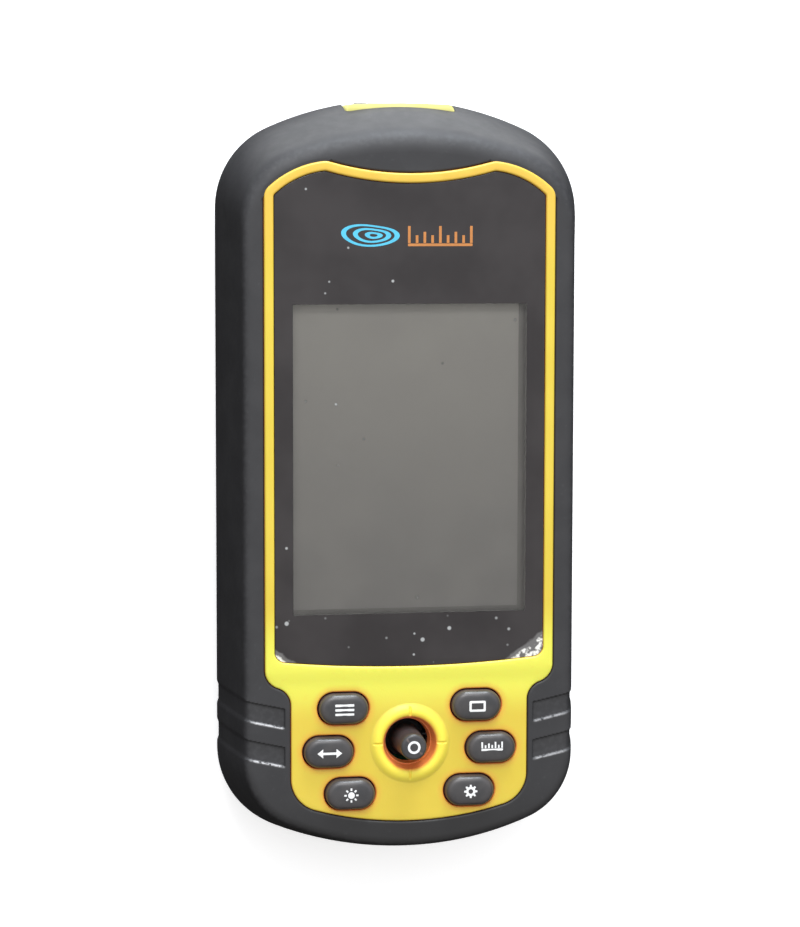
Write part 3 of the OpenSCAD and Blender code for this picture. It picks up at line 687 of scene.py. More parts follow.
def rays_of_sun(r, r0, r1, width, count=8):
    """A disc with rays from one radius to the other."""
    shapes = [[circle([0, 0], r, 32)]]
    box = np.array([[r0, -width / 2], [r1, -width / 2], [r1, width / 2], [r0, width / 2]])
    for i in range(count):
        a = 2 * math.pi * i / count
        turn = np.array([[math.cos(a), math.sin(a)], [-math.sin(a), math.cos(a)]])
        shapes.append([box @ turn])
    return shapes


def frame_shape(width, height, line):
    corner = np.array([width, height]) / 2
    outer = rounded_rect(-corner, corner, line * 0.7)
    inner = rounded_rect(line - corner, corner - line, line * 0.3)
    return [[outer, inner]]


def ruler(width, heights, tick, base):
    """A bar with a tick of each height."""
    shapes = [[rounded_rect([-width / 2, -base], [width / 2, 0], base * 0.3)]]
    for x, h in zip(np.linspace(-width / 2, width / 2 - tick, len(heights)), heights):
        shapes.append([rectangle([x, 0.1], [x + tick, h])])
    return shapes


def cog(r0, r1, hole_r, teeth=8):
    """A toothed wheel between two radii."""
    outline = []
    for i in range(teeth):
        for share, r in ((-0.30, r0), (-0.17, r1), (0.17, r1), (0.30, r0)):
            a = 2 * math.pi * (i + share) / teeth
            outline.append([r * math.cos(a), r * math.sin(a)])
    return [[np.array(outline), circle([0, 0], hole_r, 24)]]


def icons():
    """The white sign on each key, as outlines around its middle."""
    return {
        "menu_key": bars(count=3, width=4.0, height=0.5, pitch=0.95),
        "distance_key": arrows(length=5.2, head=1.2, thickness=0.5),
        "light_key": rays_of_sun(r=0.7, r0=0.98, r1=1.5, width=0.36),
        "area_key": frame_shape(width=3.5, height=2.3, line=0.48),
        "unit_key": ruler(width=4.6, heights=(1.4, 0.75, 1.1, 0.75, 1.4, 0.75, 1.4), tick=0.34, base=0.46),
        "settings_key": cog(r0=1.0, r1=1.42, hole_r=0.5),
    }


def printed(name, shapes, at, z_low, z_high, pitch=0.0, relief=None):
    """Thin sheets moved to a place, each an outline with its holes."""
    sign = Solid()
    for loops in shapes:
        plate(sign, [lambda inset, loop=loop: loop + at for loop in loops], z_low, z_high, 0, pitch, relief)
    return sign.make(name)


def key_print(name, shapes):
    """A raised white sign that follows the key's domed top."""
    at, top = middle(name)[:2], box_mm(name)[1][2]
    return printed(name + "_print", shapes, at, top - PRINT_DEEP, top + PRINT_H, PRINT_PITCH,
                   lambda points: dome(points, at))


BALL_R, SOCKET_R, SKIRT_R, STICK_R, SHAFT_H = 4.6, 1.15, 2.2, 2.3, 8.9
BALL_LOW, BALL_HIGH, SKIRT_T = 1.8, 3.2, 0.5
CAP_EDGE, CAP_FLARE, CAP_DISH = 0.75, 0.45, 0.05
SIGN_R, SIGN_HOLE_R = 1.35, 0.85


def joystick():
    """The stick's cap: a round skirt in the funnel, a neck that widens upwards, and a flat top."""
    low, neck, edge_z = PIVOT_Z + BALL_LOW, PIVOT_Z + BALL_HIGH, STICK_TOP - CAP_EDGE
    profile = [(SOCKET_R, low - SKIRT_T), (SKIRT_R, low - SKIRT_T), (SKIRT_R, low)]
    for z in np.linspace(low, neck, 9)[1:]:
        profile.append((math.sqrt(BALL_R ** 2 - (z - PIVOT_Z) ** 2), z))
    neck_r = profile[-1][0]
    for t in np.linspace(0, 1, 13)[1:]:
        profile.append((neck_r + (STICK_R + CAP_FLARE - neck_r) * t ** 0.85, neck + (edge_z - neck) * t))
    for a in np.linspace(0, math.pi / 2, 9)[1:]:
        r = STICK_R + CAP_FLARE - CAP_EDGE * (1 - math.cos(a))
        profile.append((r, edge_z + (CAP_EDGE - CAP_DISH) * math.sin(a)))
    for r in (1.4, 0.8, 0):
        profile.append((r, STICK_TOP - CAP_DISH * (r / STICK_R) ** 2))
    profile += [(0, PIVOT_Z + SHAFT_H), (SOCKET_R, PIVOT_Z + SHAFT_H)]
    cap = Solid()
    cap.loft(lathe(profile, STICK), wrap=True)
    return cap.make("joystick_cap_look", smooth_angle=40)


def joystick_print():
    """A ring on the stick's top, for the confirming press."""
    ring = [circle([0, 0], SIGN_R, 64), circle([0, 0], SIGN_HOLE_R, 48)]
    return printed("joystick_print", [ring], STICK, STICK_TOP - PRINT_DEEP, STICK_TOP)


# ---- display

PANE_GAP, WINDOW_EDGE, WINDOW_PITCH = 0.02, 0.15, 1.5
VIEW_LOW, VIEW_HIGH = (-VIEW_W / 2, VIEW_Y - VIEW_H / 2), (VIEW_W / 2, VIEW_Y + VIEW_H / 2)
SCREEN_LOW, SCREEN_HIGH = (-25.2, -26.1), (23.4, 38.7)
SCREEN_DEEP, SCREEN_RISE = 0.1, 0.04
EMBLEM_Y, CONTOURS_X, SCALE_X, SCALE_DROP = 51.85, -8.6, 6.2, 1.7
EMBLEM_DEEP, EMBLEM_RISE = 0.1, 0.02


def window_border():
    """Black-printed part of the window: a glass plate with a softened rim and a square-cornered view."""
    solid = Solid()
    outlines = [window_outline, lambda inset: rectangle(VIEW_LOW, VIEW_HIGH)]
    plate(solid, outlines, WINDOW_LOW[2], WINDOW_HIGH[2], WINDOW_EDGE, WINDOW_PITCH)
    return solid.make("window_border")


def window_pane():
    """The clear part of the window."""
    view = rectangle(VIEW_LOW, VIEW_HIGH, -PANE_GAP)
    return printed("window_pane", [[view]], 0, WINDOW_LOW[2], WINDOW_HIGH[2])


def lcd_screen():
    """The picture area, just proud of the display's frosted margin."""
    top = box_mm("lcd_panel")[1][2]
    area = rectangle(SCREEN_LOW, SCREEN_HIGH)
    return printed("lcd_screen", [[area]], 0, top - SCREEN_DEEP, top + SCREEN_RISE)


def contour_ring(shift, r, line=0.42, squash=2.3, turn=0.7):
    """One closed contour line of a map, as a ring."""
    a = np.radians(np.arange(0, 360, 6.0))
    wave = 1 + 0.10 * np.cos(2 * a + turn) + 0.05 * np.cos(3 * a - turn)
    shape = np.stack([np.cos(a) * wave * squash, np.sin(a) * wave], axis=1)
    return [r * shape + [shift, 0], (r - line) * shape + [shift, 0]]


def emblem(part):
    """A made-up sign above the display: blue contour lines and an orange scale bar."""
    if part == "contours":
        at = [CONTOURS_X, EMBLEM_Y]
        shapes = [contour_ring(0.0, 2.45), contour_ring(0.4, 1.6), contour_ring(0.8, 0.75)]
    else:
        at = [SCALE_X, EMBLEM_Y - SCALE_DROP]
        shapes = ruler(width=13.6, heights=(3.6, 1.7, 2.4, 1.7) * 2 + (3.6,), tick=0.55, base=0.55)
    top = WINDOW_HIGH[2]
    return printed("emblem_" + part, shapes, at, top - EMBLEM_DEEP, top + EMBLEM_RISE)


# ---- CAD pieces with softened edges

SHARP_ANGLE = 35.0


def dressed(node, bevel):
    """The CAD node's shape as a new piece, with its sharp edges rounded off."""
    b = bmesh.new()
    b.from_mesh(frame["nodes"][node].data)
    bmesh.ops.remove_doubles(b, verts=b.verts, dist=CAD_WELD)
    if bevel:
        bmesh.ops.dissolve_limit(b, angle_limit=math.radians(1), verts=b.verts, edges=b.edges)
        limit = math.radians(SHARP_ANGLE)
        sharp = [e for e in b.edges if len(e.link_faces) == 2 and e.calc_face_angle() > limit]
        bmesh.ops.bevel(b, geom=sharp, offset=bevel * MM, segments=2, profile=0.5,
                        affect="EDGES", clamp_overlap=True)
        bmesh.ops.triangulate(b, faces=[f for f in b.faces if len(f.verts) > 4])
    return from_bmesh(node + "_look", b, SHARP_ANGLE)


# ---- materials

class Nodes:
    """Builds the nodes of a material or of the sky, on the given texture coordinates."""

    def __init__(self, tree, coordinates):
        self.tree = tree
        self.place = self.add("ShaderNodeTexCoord").outputs[coordinates]

    def add(self, kind, inputs=None, **settings):
        node = self.tree.nodes.new(kind)
        for name, value in settings.items():
            setattr(node, name, value)
        for name, value in (inputs or {}).items():
            self.put(node.inputs[name], value)
        return node

    def put(self, socket, value):
        if isinstance(value, bpy.types.NodeSocket):
            self.tree.links.new(value, socket)
        elif isinstance(value, (tuple, list)) and len(value) == 3 and len(socket.default_value) == 4:
            socket.default_value = (*value, 1.0)
        else:
            socket.default_value = value

    def noise(self, size_mm, detail=3.0, stretch=None):
        place = self.place
        if stretch:
            place = self.add("ShaderNodeMapping", {"Vector": place, "Scale": stretch}).outputs["Vector"]
        inputs = {"Vector": place, "Scale": 1 / (size_mm * MM), "Detail": detail}
        return self.add("ShaderNodeTexNoise", inputs).outputs["Fac"]

    def scale(self, value, low, high, to_low=0.0, to_high=1.0):
        inputs = {"Value": value, "From Min": low, "From Max": high, "To Min": to_low, "To Max": to_high}
        node = self.add("ShaderNodeMapRange", inputs, clamp=True, interpolation_type="SMOOTHSTEP")
        return node.outputs["Result"]

    def patches(self, size_mm, to_low=0.0, to_high=1.0):
        """Soft patches of about this size, between the two values."""
        return self.scale(self.noise(size_mm), 0.3, 0.7, to_low, to_high)

    def sheen(self, size_mm, to_low, to_high, stretch=None):
        """Roughness that drifts between the two values, without reaching them often."""
        return self.scale(self.noise(size_mm, stretch=stretch), 0.25, 0.75, to_low, to_high)

    def math(self, operation, a, b=0.0):
        return self.add("ShaderNodeMath", {0: a, 1: b}, operation=operation).outputs[0]

    def times(self, a, b):
        return self.math("MULTIPLY", a, b)

    def plus(self, a, b):
        return self.math("ADD", a, b)

    def minus(self, a, b):
        return self.math("SUBTRACT", a, b)

    def distance(self, x, y):
        return self.math("SQRT", self.plus(self.times(x, x), self.times(y, y)))

    def mix(self, share, a, b):
        inputs = {"Factor": share, "A": a, "B": b}
        return self.add("ShaderNodeMix", inputs, data_type="RGBA").outputs["Result"]

    def axis(self, name):
        return self.add("ShaderNodeSeparateXYZ", {0: self.place}).outputs[name]


class Shader(Nodes):
    """Builds one procedural material on the object's own coordinates."""

    def __init__(self, name):
        self.material = bpy.data.materials.new(name)
        self.material.use_nodes = True
        self.surface = self.material.node_tree.nodes["Principled BSDF"]
        super().__init__(self.material.node_tree, "Object")

    def attribute(self, name):
        return self.add("ShaderNodeAttribute", attribute_name=name).outputs["Fac"]

    def surface_value(self, name):
        return self.add("ShaderNodeNewGeometry").outputs[name]

    def worn_edges(self, reach_mm):
        """1 along edges sharper than the reach, whatever the mesh's own faces are like."""
        soft = self.add("ShaderNodeBevel", {"Radius": reach_mm * MM}, samples=4)
        inputs = {0: soft.outputs["Normal"], 1: self.surface_value("Normal")}
        same = self.add("ShaderNodeVectorMath", inputs, operation="DOT_PRODUCT")
        return self.scale(same.outputs["Value"], 0.995, 0.93)

    def openness(self, reach_mm):
        node = self.add("ShaderNodeAmbientOcclusion", {"Distance": reach_mm * MM}, samples=8)
        return node.outputs["AO"]

    def specks(self, spacing_mm, size_share, kept):
        """Small scattered dots: 1 on a dot, 0 elsewhere."""
        inputs = {"Vector": self.place, "Scale": 1 / (spacing_mm * MM)}
        cells = self.add("ShaderNodeTexVoronoi", inputs)
        dot = self.scale(cells.outputs["Distance"], size_share, size_share * 0.5)
        chance = self.add("ShaderNodeSeparateColor", {0: cells.outputs["Color"]})
        return self.times(dot, self.math("LESS_THAN", chance.outputs[0], kept))

    def finish(self, colour, roughness, bump=(), **values):
        self.put(self.surface.inputs["Base Color"], colour)
        self.put(self.surface.inputs["Roughness"], roughness)
        for name, value in values.items():
            self.put(self.surface.inputs[name.replace("_", " ")], value)
        normal = None
        for height, depth_mm in bump:
            inputs = {"Height": height, "Distance": depth_mm * MM, "Strength": 1.0}
            if normal:
                inputs["Normal"] = normal
            normal = self.add("ShaderNodeBump", inputs).outputs["Normal"]
        if normal:
            self.put(self.surface.inputs["Normal"], normal)
        return self.material


# Yellow plastic: its two tones, then a painted highlight strip below the window, painted orange shade towards
# the top end, a painted highlight on the bead round the stick, and painted orange shade around the keys and
# where it lies deep
YELLOW, YELLOW_LIGHT = (0.665, 0.505, 0.048), (0.70, 0.535, 0.058)
YELLOW_STRIP_HIGHLIGHT, STRIP_HIGHLIGHT_BELOW, STRIP_HIGHLIGHT_ABOVE = (0.75, 0.735, 0.088), (-0.050, -0.041), (-0.024, -0.036)
YELLOW_TOP_SHADE, TOP_SHADE_ABOVE = (0.72, 0.47, 0.062), (0.040, 0.062)
YELLOW_CREST_HIGHLIGHT, YELLOW_PAINTED_SHADE, YELLOW_GRIME = (1.0, 0.84, 0.08), (1.0, 0.28, 0.08), (0.74, 0.48, 0.05)
YELLOW_KEY_SHADE, KEY_SHADE_REACH = (0.80, 0.40, 0.05), 2.1
FLAP_YELLOW, FLAP_PALE = (0.70, 0.65, 0.20), (0.74, 0.70, 0.27)
# Rubber, with painted shade that makes it darker at its low end
RUBBER, RUBBER_LIGHT = (0.027, 0.0268, 0.029), (0.034, 0.0337, 0.036)
RUBBER_LOW_SHADE, LOW_SHADE_END = (0.017, 0.0165, 0.017), (-0.058, -0.078)
# Dust, and the light line along the grips, which is wear and a painted highlight
DUST, RUB_AND_HIGHLIGHT = (0.12, 0.122, 0.13), (0.60, 0.59, 0.60)
# Window, with the torn film's two limits in its lower corners, in metres along the lean; the white along the
# film's edge is scuffs and a painted highlight
GLASS_BLACK, GLASS_HAZE, SPECK = (0.018, 0.015, 0.016), (0.030, 0.026, 0.027), (0.36, 0.37, 0.37)
FILM, FILM_SCUFF_AND_HIGHLIGHT = (0.13, 0.125, 0.125), (0.85, 0.84, 0.80)
FILM_LEAN, FILM_LIMITS, FILM_HIGHLIGHT_LIMITS, FILM_WIDER = (0.58, -0.82), (0.0449, 0.0454), (0.0457, 0.0463), 0.0021
FILM_RAGGED, SPECKS_BELOW = 0.0016, (-0.024, -0.028)
# Screen colours, paler towards the top as a painted reflection
SCREEN_REFLECTION_TOP, SCREEN_DARK, SCREEN_MIST = (0.345, 0.33, 0.31), (0.235, 0.225, 0.22), (0.30, 0.285, 0.272)
# Margin colours, darker than the screen as painted shade
MARGIN_DARK, MARGIN_PALE = (0.165, 0.155, 0.148), (0.185, 0.175, 0.168)
# Keys, lighter where the edges turn with wear and a painted highlight, and prints
KEY_DARK, KEY_LIGHT, KEY_EDGE_WEAR_AND_HIGHLIGHT = (0.038, 0.038, 0.041), (0.056, 0.053, 0.054), (0.17, 0.13, 0.115)
PRINT_WHITE, EMBLEM_BLUE, EMBLEM_ORANGE = (0.86, 0.87, 0.87), (0.08, 0.50, 0.72), (0.52, 0.20, 0.05)
STEEL_WORN = (0.75, 0.75, 0.74)
ALONG_Y = (1.0, 0.08, 1.0)


def tint(colour, share):
    return tuple(min(1.0, c * share) for c in colour)


def general(name, colour, rough, grain_mm, depth_mm, worn, metallic=0.0, stretch=None):
    """A finish with patches, roughness and bump variation, and lighter worn edges."""
    s = Shader(name)
    patches = s.mix(s.patches(9.0), tint(colour, 0.86), tint(colour, 1.12))
    edge = s.times(s.worn_edges(0.25), s.scale(s.noise(1.5), 0.35, 0.6))
    roughness = s.sheen(3.0, rough - 0.07, rough + 0.07, stretch)
    return s.finish(s.mix(edge, patches, worn), roughness,
                    [(s.noise(grain_mm, 4.0, stretch), depth_mm)], Metallic=metallic)


def key_hole_shade(s):
    """Painted orange shade: 1 at the rim of each key's hole, fading to 0 a little way out on the deck."""
    x, y = s.axis("X"), s.axis("Y")
    side = s.math("ABSOLUTE", x)
    hole_shade = None
    for name in KEYS[3:]:
        cx, cy = middle(name)[:2] * MM
        along = s.math("ABSOLUTE", s.minus(side, cx))
        along = s.math("MAXIMUM", s.minus(along, (KEY_LEN - KEY_WID) / 2 * MM), 0.0)
        across = s.minus(y, cy)
        reach = s.distance(along, across)
        near = s.scale(reach, (KEY_WID / 2 + KEY_SHADE_REACH) * MM, KEY_WID / 2 * MM)
        hole_shade = near if hole_shade is None else s.math("MAXIMUM", hole_shade, near)
    return hole_shade


def around_stick(s, start_mm, full_mm):
    """0 beyond the first distance from the stick's middle, and 1 within the second."""
    x, y = (s.minus(s.axis(name), at * MM) for name, at in zip("XY", STICK))
    return s.scale(s.distance(x, y), start_mm * MM, full_mm * MM)


def flap_plastic():
    """The port flap's yellow, bleached by light."""
    s = Shader("flap_plastic")
    body = s.mix(s.patches(6.0), FLAP_YELLOW, FLAP_PALE)
    grime = s.times(s.scale(s.noise(1.5, 5.0), 0.6, 0.8), 0.2)
    return s.finish(s.mix(grime, body, YELLOW_GRIME), s.sheen(4.0, 0.36, 0.48),
                    [(s.noise(0.35, 2.0), 0.012)])


def yellow_plastic():
    """The front housing: a painted highlight strip below the window, painted orange shade towards the top
    end, around the key holes and where it lies deep, and a painted highlight on the bead round the stick.
    """
    s = Shader("yellow_plastic")
    body = s.mix(s.patches(14.0), YELLOW, YELLOW_LIGHT)
    y = s.axis("Y")
    # Painted highlight: a lighter lemon strip just below the window
    strip_highlight = s.times(s.scale(y, *STRIP_HIGHLIGHT_BELOW), s.scale(y, *STRIP_HIGHLIGHT_ABOVE))
    body = s.mix(strip_highlight, body, YELLOW_STRIP_HIGHLIGHT)
    # Painted shade: warmer orange towards the top end
    body = s.mix(s.scale(y, *TOP_SHADE_ABOVE), body, YELLOW_TOP_SHADE)
    # Painted orange shade around the key holes
    body = s.mix(s.times(key_hole_shade(s), 0.75), body, YELLOW_KEY_SHADE)
    # Painted highlight on the bead round the stick
    body = s.mix(s.times(around_stick(s, BEAD_R + 0.4, BEAD_CREST_R), 0.75), body, YELLOW_CREST_HIGHLIGHT)
    # Painted orange shade where the surface is enclosed, and all through the funnel
    shaded = s.mix(s.scale(s.openness(3.0), 0.30, 0.70), YELLOW_PAINTED_SHADE, body)
    shaded = s.mix(around_stick(s, FUNNEL_R + 0.7, FUNNEL_R - 0.1), shaded, YELLOW_PAINTED_SHADE)
    grime = s.times(s.scale(s.noise(1.8, 5.0), 0.62, 0.8), 0.25)
    return s.finish(s.mix(grime, shaded, YELLOW_GRIME), s.sheen(5.0, 0.34, 0.46),
                    [(s.noise(0.35, 2.0), 0.012), (s.noise(12.0, 1.0), 0.05)],
                    Subsurface_Weight=0.12, Subsurface_Radius=(0.004, 0.002, 0.0005), Subsurface_Scale=0.5)


def black_rubber():
    """The bumpers: dusty, darker at the low end as painted shade, lighter on the ridges with wear and a
    painted highlight, and lighter along the grips with wear and a painted highlight.
    """
    s = Shader("black_rubber")
    body = s.mix(s.scale(s.noise(7.0, 4.0), 0.3, 0.75), RUBBER, RUBBER_LIGHT)
    # Painted shade: darker towards the low end
    body = s.mix(s.scale(s.axis("Y"), *LOW_SHADE_END), body, RUBBER_LOW_SHADE)
    dust = s.times(s.scale(s.noise(0.9, 5.0), 0.6, 0.85), 0.12)
    body = s.mix(dust, body, DUST)
    # Wear and a painted highlight along the ridges
    ridge = s.times(s.attribute("ridge"), s.scale(s.noise(1.1, 4.0), 0.4, 0.7, 0.02, 0.12))
    body = s.mix(ridge, body, DUST)
    # Wear and a painted highlight along the grips' lower edges
    rub_and_highlight = s.times(s.attribute("worn"), s.scale(s.noise(0.8, 3.0), 0.3, 0.55))
    return s.finish(s.mix(rub_and_highlight, body, RUB_AND_HIGHLIGHT), s.sheen(2.5, 0.51, 0.59),
                    [(s.noise(0.22, 2.0), 0.014), (s.noise(6.0, 2.0), 0.010)], Specular_IOR_Level=0.42)


def window_black():
    """The back-printed glass: dust dots, a torn film in the lower corners with scuffs and a painted highlight
    along its edge, and a faint haze.
    """
    s = Shader("window_glass")
    haze = s.mix(s.patches(16.0), GLASS_BLACK, GLASS_HAZE)
    x, y = s.axis("X"), s.axis("Y")
    side = s.math("ABSOLUTE", x)
    lean = s.plus(s.times(side, FILM_LEAN[0]), s.times(y, FILM_LEAN[1]))
    lean = s.plus(lean, s.scale(x, -0.002, 0.002, 0.0, FILM_WIDER))
    ragged = s.plus(lean, s.times(s.noise(2.2, 4.0), FILM_RAGGED))
    film = s.scale(ragged, *FILM_LIMITS)
    # White along the film's torn edge: scuffs and a painted highlight
    bright = s.times(s.scale(ragged, *FILM_HIGHLIGHT_LIMITS), s.scale(s.noise(1.1, 5.0), 0.42, 0.6))
    rim_dots = s.times(s.specks(2.6, size_share=0.22, kept=0.22), s.scale(y, *SPECKS_BELOW))
    dots = s.math("MAXIMUM", rim_dots, s.specks(4.5, size_share=0.09, kept=0.3))
    colour = s.mix(dots, haze, SPECK)
    colour = s.mix(film, colour, FILM)
    colour = s.mix(bright, colour, FILM_SCUFF_AND_HIGHLIGHT)
    return s.finish(colour, s.patches(8.0, 0.07, 0.14), [(s.noise(20.0, 1.0), 0.01)])


def window_clear():
    """The clear part of the same glass: it lets the display show, with a faint shine and dust."""
    s = Shader("window_clear")
    dots = s.math("MAXIMUM", s.specks(5.5, size_share=0.075, kept=0.35),
                  s.specks(13.0, size_share=0.06, kept=0.5))
    s.finish(s.mix(dots, GLASS_HAZE, SPECK), s.patches(8.0, 0.07, 0.14),
             [(s.noise(20.0, 1.0), 0.01)])
    clear = s.add("ShaderNodeBsdfTransparent", {"Color": (0.97, 0.97, 0.96)})
    gloss = s.add("ShaderNodeBsdfGlossy", {"Roughness": 0.08})
    shine = s.add("ShaderNodeFresnel", {"IOR": 1.45})
    both = s.add("ShaderNodeMixShader", {0: shine.outputs[0], 1: clear.outputs[0], 2: gloss.outputs[0]})
    dusty = s.add("ShaderNodeMixShader", {0: s.times(dots, 0.7), 1: both.outputs[0], 2: s.surface.outputs[0]})
    output = s.tree.nodes["Material Output"]
    s.put(output.inputs["Surface"], dusty.outputs[0])
    return s.material


def lcd_glass():
    """The display switched off: grey, a little lighter towards its top as a painted reflection."""
    s = Shader("lcd_screen")
    # Painted reflection: lighter towards the top
    up = s.scale(s.axis("Y"), SCREEN_LOW[1] * MM, SCREEN_HIGH[1] * MM)
    colour = s.mix(up, SCREEN_DARK, SCREEN_REFLECTION_TOP)
    colour = s.mix(s.times(s.scale(s.noise(11.0), 0.35, 0.7), 0.5), colour, SCREEN_MIST)
    return s.finish(colour, s.patches(4.0, 0.38, 0.5), [(s.noise(0.4, 1.0), 0.003)])


def lcd_margin():
    """The frosted strip around the picture area, a little darker than the screen as painted shade under the
    window's black border.
    """
    s = Shader("lcd_glass")
    # Painted shade: the margin darker than the screen
    colour = s.mix(s.patches(6.0), MARGIN_DARK, MARGIN_PALE)
    return s.finish(colour, s.patches(3.0, 0.4, 0.52), [(s.noise(0.4, 1.0), 0.003)])


def key_plastic():
    """Dark grey, a little lighter where the edges turn: edge wear and a painted highlight."""
    s = Shader("key_plastic")
    body = s.mix(s.patches(3.0), KEY_DARK, KEY_LIGHT)
    # Edge wear and a painted highlight where the edges turn
    edge = s.times(s.scale(s.surface_value("Pointiness"), 0.51, 0.57), 0.6)
    return s.finish(s.mix(edge, body, KEY_EDGE_WEAR_AND_HIGHLIGHT), s.sheen(2.0, 0.30, 0.40),
                    [(s.noise(0.3, 2.0), 0.008)])


def ink(name, colour):
    """Printed colour with slight wear."""
    s = Shader(name)
    body = s.mix(s.scale(s.noise(1.2, 4.0), 0.35, 0.7), colour, tint(colour, 0.88))
    return s.finish(body, s.patches(0.8, 0.4, 0.55), [(s.noise(0.3), 0.004)])


FINISHES = {  # by the record's finish class: roughness, grain size and depth in mm, metallic, brushing
    "matte_plastic": (0.55, 0.4, 0.02, 0.0, None),
    "gloss_plastic": (0.25, 0.8, 0.01, 0.0, None),
    "rubber": (0.62, 0.3, 0.015, 0.0, None),
    "brushed_steel": (0.32, 0.5, 0.008, 1.0, ALONG_Y),
    "brass": (0.30, 0.5, 0.008, 1.0, None),
    "ceramic": (0.45, 0.6, 0.02, 0.0, None),
}


def slot_materials():
    """A material for each of the record's slots: its own where it shows most, else by its class."""
    own = {"yellow_plastic": yellow_plastic, "black_rubber": black_rubber, "key_plastic": key_plastic,
           "window_glass": window_black, "lcd_glass": lcd_margin}
    made = {}
    for slot in frame["record"]["materials"]:
        name = slot["slot"]
        if name in own:
            made[name] = own[name]()
            continue
        rough, grain, depth, metallic, stretch = FINISHES[slot["class"]]
        colour = tuple(slot["base_color"])
        worn = STEEL_WORN if metallic else tint(tuple(c + 0.05 for c in colour), 1.3)
        made[name] = general(name, colour, rough, grain, depth, worn, metallic, stretch)
    return made


# ---- the object

MATERIALS = slot_materials()
NODE_SLOT = {part["node"]: part["material_slot"] for part in frame["record"]["subparts"]}
NODE_BODY = {node: body for body, nodes in frame["record"]["behaviour"]["bodies"].items() for node in nodes}


def coat(obj, material):
    obj.data.materials.clear()
    obj.data.materials.append(material)


def stand_for(obj, node, material=None):
    """The piece takes the CAD node's place, body and finish."""
    coat(obj, material or MATERIALS[NODE_SLOT[node]])
    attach(obj, NODE_BODY[node])
    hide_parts(node)
    return obj


def join_body(obj, body, material):
    """A piece with no CAD node of its own."""
    coat(obj, material)
    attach(obj, body)
    return obj


BEVELS = {"rear_housing": 0.25, "battery_door": 0.25, "door_screw": 0.2, "d_ring": 0,
          "case_screws": 0.12, "flap_pin": 0.1, "door_pins": 0.1}
FLAP_BEVEL = 0.5


def build_object():
    for node, obj in frame["nodes"].items():
        coat(obj, MATERIALS[NODE_SLOT[node]])
    stand_for(front_bumper(), "front_bumper")
    stand_for(rear_bumper(), "rear_bumper")
    stand_for(front_housing(), "front_housing")
    white = ink("print_white", PRINT_WHITE)
    for name, shapes in icons().items():
        stand_for(key(name), name)
        join_body(key_print(name, shapes), NODE_BODY[name], white)
    stand_for(joystick(), "joystick_cap")
    join_body(joystick_print(), NODE_BODY["joystick_cap"], white)
    stand_for(window_border(), "display_window")
    join_body(window_pane(), "case", window_clear())
    join_body(lcd_screen(), "case", lcd_glass())
    join_body(emblem("contours"), "case", ink("emblem_blue", EMBLEM_BLUE))
    join_body(emblem("scale"), "case", ink("emblem_orange", EMBLEM_ORANGE))
    stand_for(dressed("port_flap", FLAP_BEVEL), "port_flap", flap_plastic())
    for node, bevel in BEVELS.items():
        stand_for(dressed(node, bevel), node)


# ---- floor, light and camera

WHITE = (1.0, 1.0, 1.0)
FLOOR_HALF, FLOOR_BELOW, FLOOR_GLOW = 1.2, 0.0003, 0.40
SKY_LOW, SKY_HIGH, SKY_BOTTOM_END, SKY_TOP_END, SKY_BAND = 0.04, 1.12, 0.60, 1.1, 0.8
SKY_WARM, SKY_COOL = (1.0, 0.975, 0.95), (0.95, 0.985, 1.03)
# Lamps: place, size, power and colour
KEY_LAMP = (-0.08, 0.62, 0.62), 0.45, 4.0, (1.0, 1.0, 1.0)
LOW_LAMP = (0.10, 0.70, 0.17), 0.30, 4.6, (0.86, 0.93, 1.0)
CARD_LOW, CARD_HIGH, CARD_POWER = (-0.07, 0.092), (0.09, 0.30), 1.5
CAMERA_PLACE, CAMERA_TURN, CAMERA_LENS = (-0.1082, 0.0661, 0.6449), (-5.75, -9.79, -0.88), 116.5


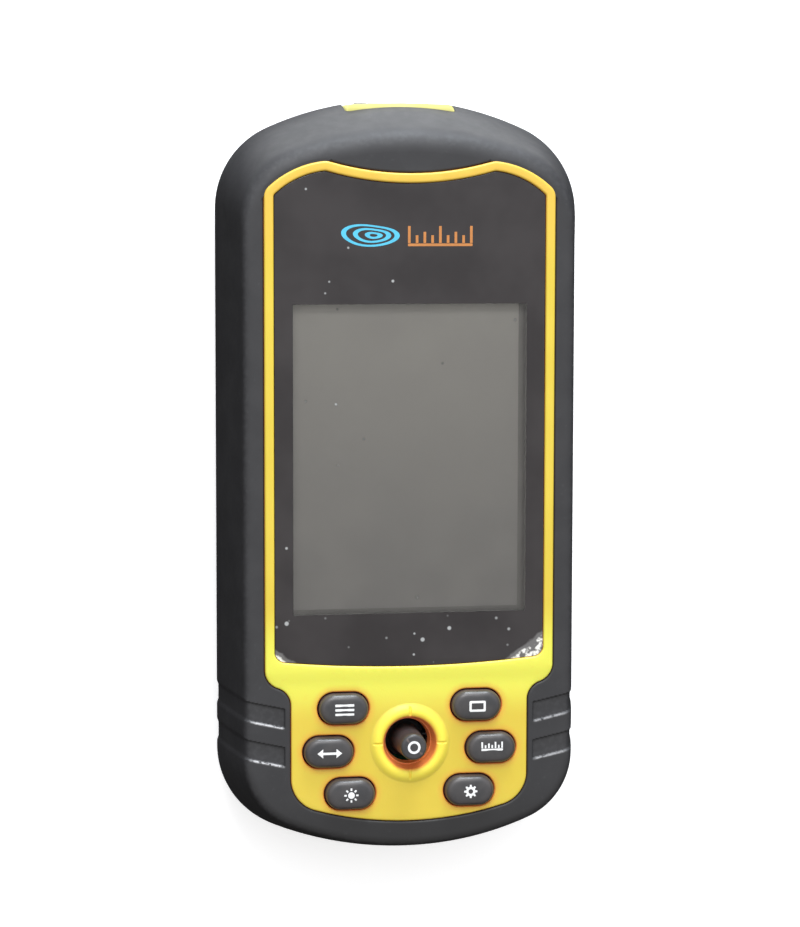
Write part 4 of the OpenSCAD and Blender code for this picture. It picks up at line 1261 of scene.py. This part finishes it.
def floor():
    obj = sheet("floor", (-FLOOR_HALF, -FLOOR_HALF), (FLOOR_HALF, FLOOR_HALF))
    obj.location.z = -FLOOR_BELOW
    s = Shader("floor_white")
    tone = s.mix(s.noise(160.0), tint(WHITE, 0.97), tint(WHITE, 0.99))
    s.finish(tone, 0.9, Emission_Color=WHITE, Emission_Strength=FLOOR_GLOW, Specular_IOR_Level=0.1)
    coat(obj, s.material)
    obj.visible_glossy = False
    obj.visible_diffuse = False


def sky():
    """Soft light from above, a little stronger from the object's top end, and little from below."""
    world = bpy.data.worlds.new("studio")
    bpy.context.scene.world = world
    world.use_nodes = True
    s = Nodes(world.node_tree, "Generated")
    up, along = s.axis("Z"), s.axis("Y")
    above = s.scale(up, 0.05, 0.65, SKY_LOW, SKY_HIGH)
    end = s.scale(along, -0.35, 0.30, SKY_BOTTOM_END, SKY_TOP_END)
    low_band = s.scale(along, 0.55, 0.92, 0.0, SKY_BAND)
    background = s.tree.nodes["Background"]
    s.put(background.inputs["Strength"], s.plus(s.times(above, end), low_band))
    s.put(background.inputs["Color"], s.mix(s.scale(along, -0.4, 0.6), SKY_WARM, SKY_COOL))


def lamp(name, place, size, power, colour):
    light = bpy.data.lights.new(name, "AREA")
    light.shape, light.size, light.energy, light.color = "DISK", size, power, colour
    obj = show(name, light)
    obj.location = place
    obj.rotation_euler = (-Vector(place)).to_track_quat("-Z", "Y").to_euler()


def top_card():
    """A bright card lying beyond the top end, which the sloping rubber mirrors."""
    obj = sheet("card", CARD_LOW, CARD_HIGH)
    s = Shader("card_white")
    s.finish(tint(WHITE, 0.9), 0.9, Emission_Color=(0.96, 0.98, 1.0), Emission_Strength=CARD_POWER)
    coat(obj, s.material)
    obj.visible_camera = False
    obj.visible_shadow = False


def camera():
    """The photographer's place, a little left of and above the middle."""
    data = bpy.data.cameras.new("camera")
    data.sensor_width, data.lens = 36.0, CAMERA_LENS
    data.clip_start, data.clip_end = 0.01, 10.0
    obj = show("camera", data)
    obj.location = CAMERA_PLACE
    obj.rotation_mode = "ZYX"
    obj.rotation_euler = [math.radians(a) for a in CAMERA_TURN]
    bpy.context.scene.camera = obj


build_object()
floor()
sky()
lamp("key", *KEY_LAMP)
lamp("low", *LOW_LAMP)
top_card()
camera()
bpy.context.scene.view_settings.view_transform = "Standard"
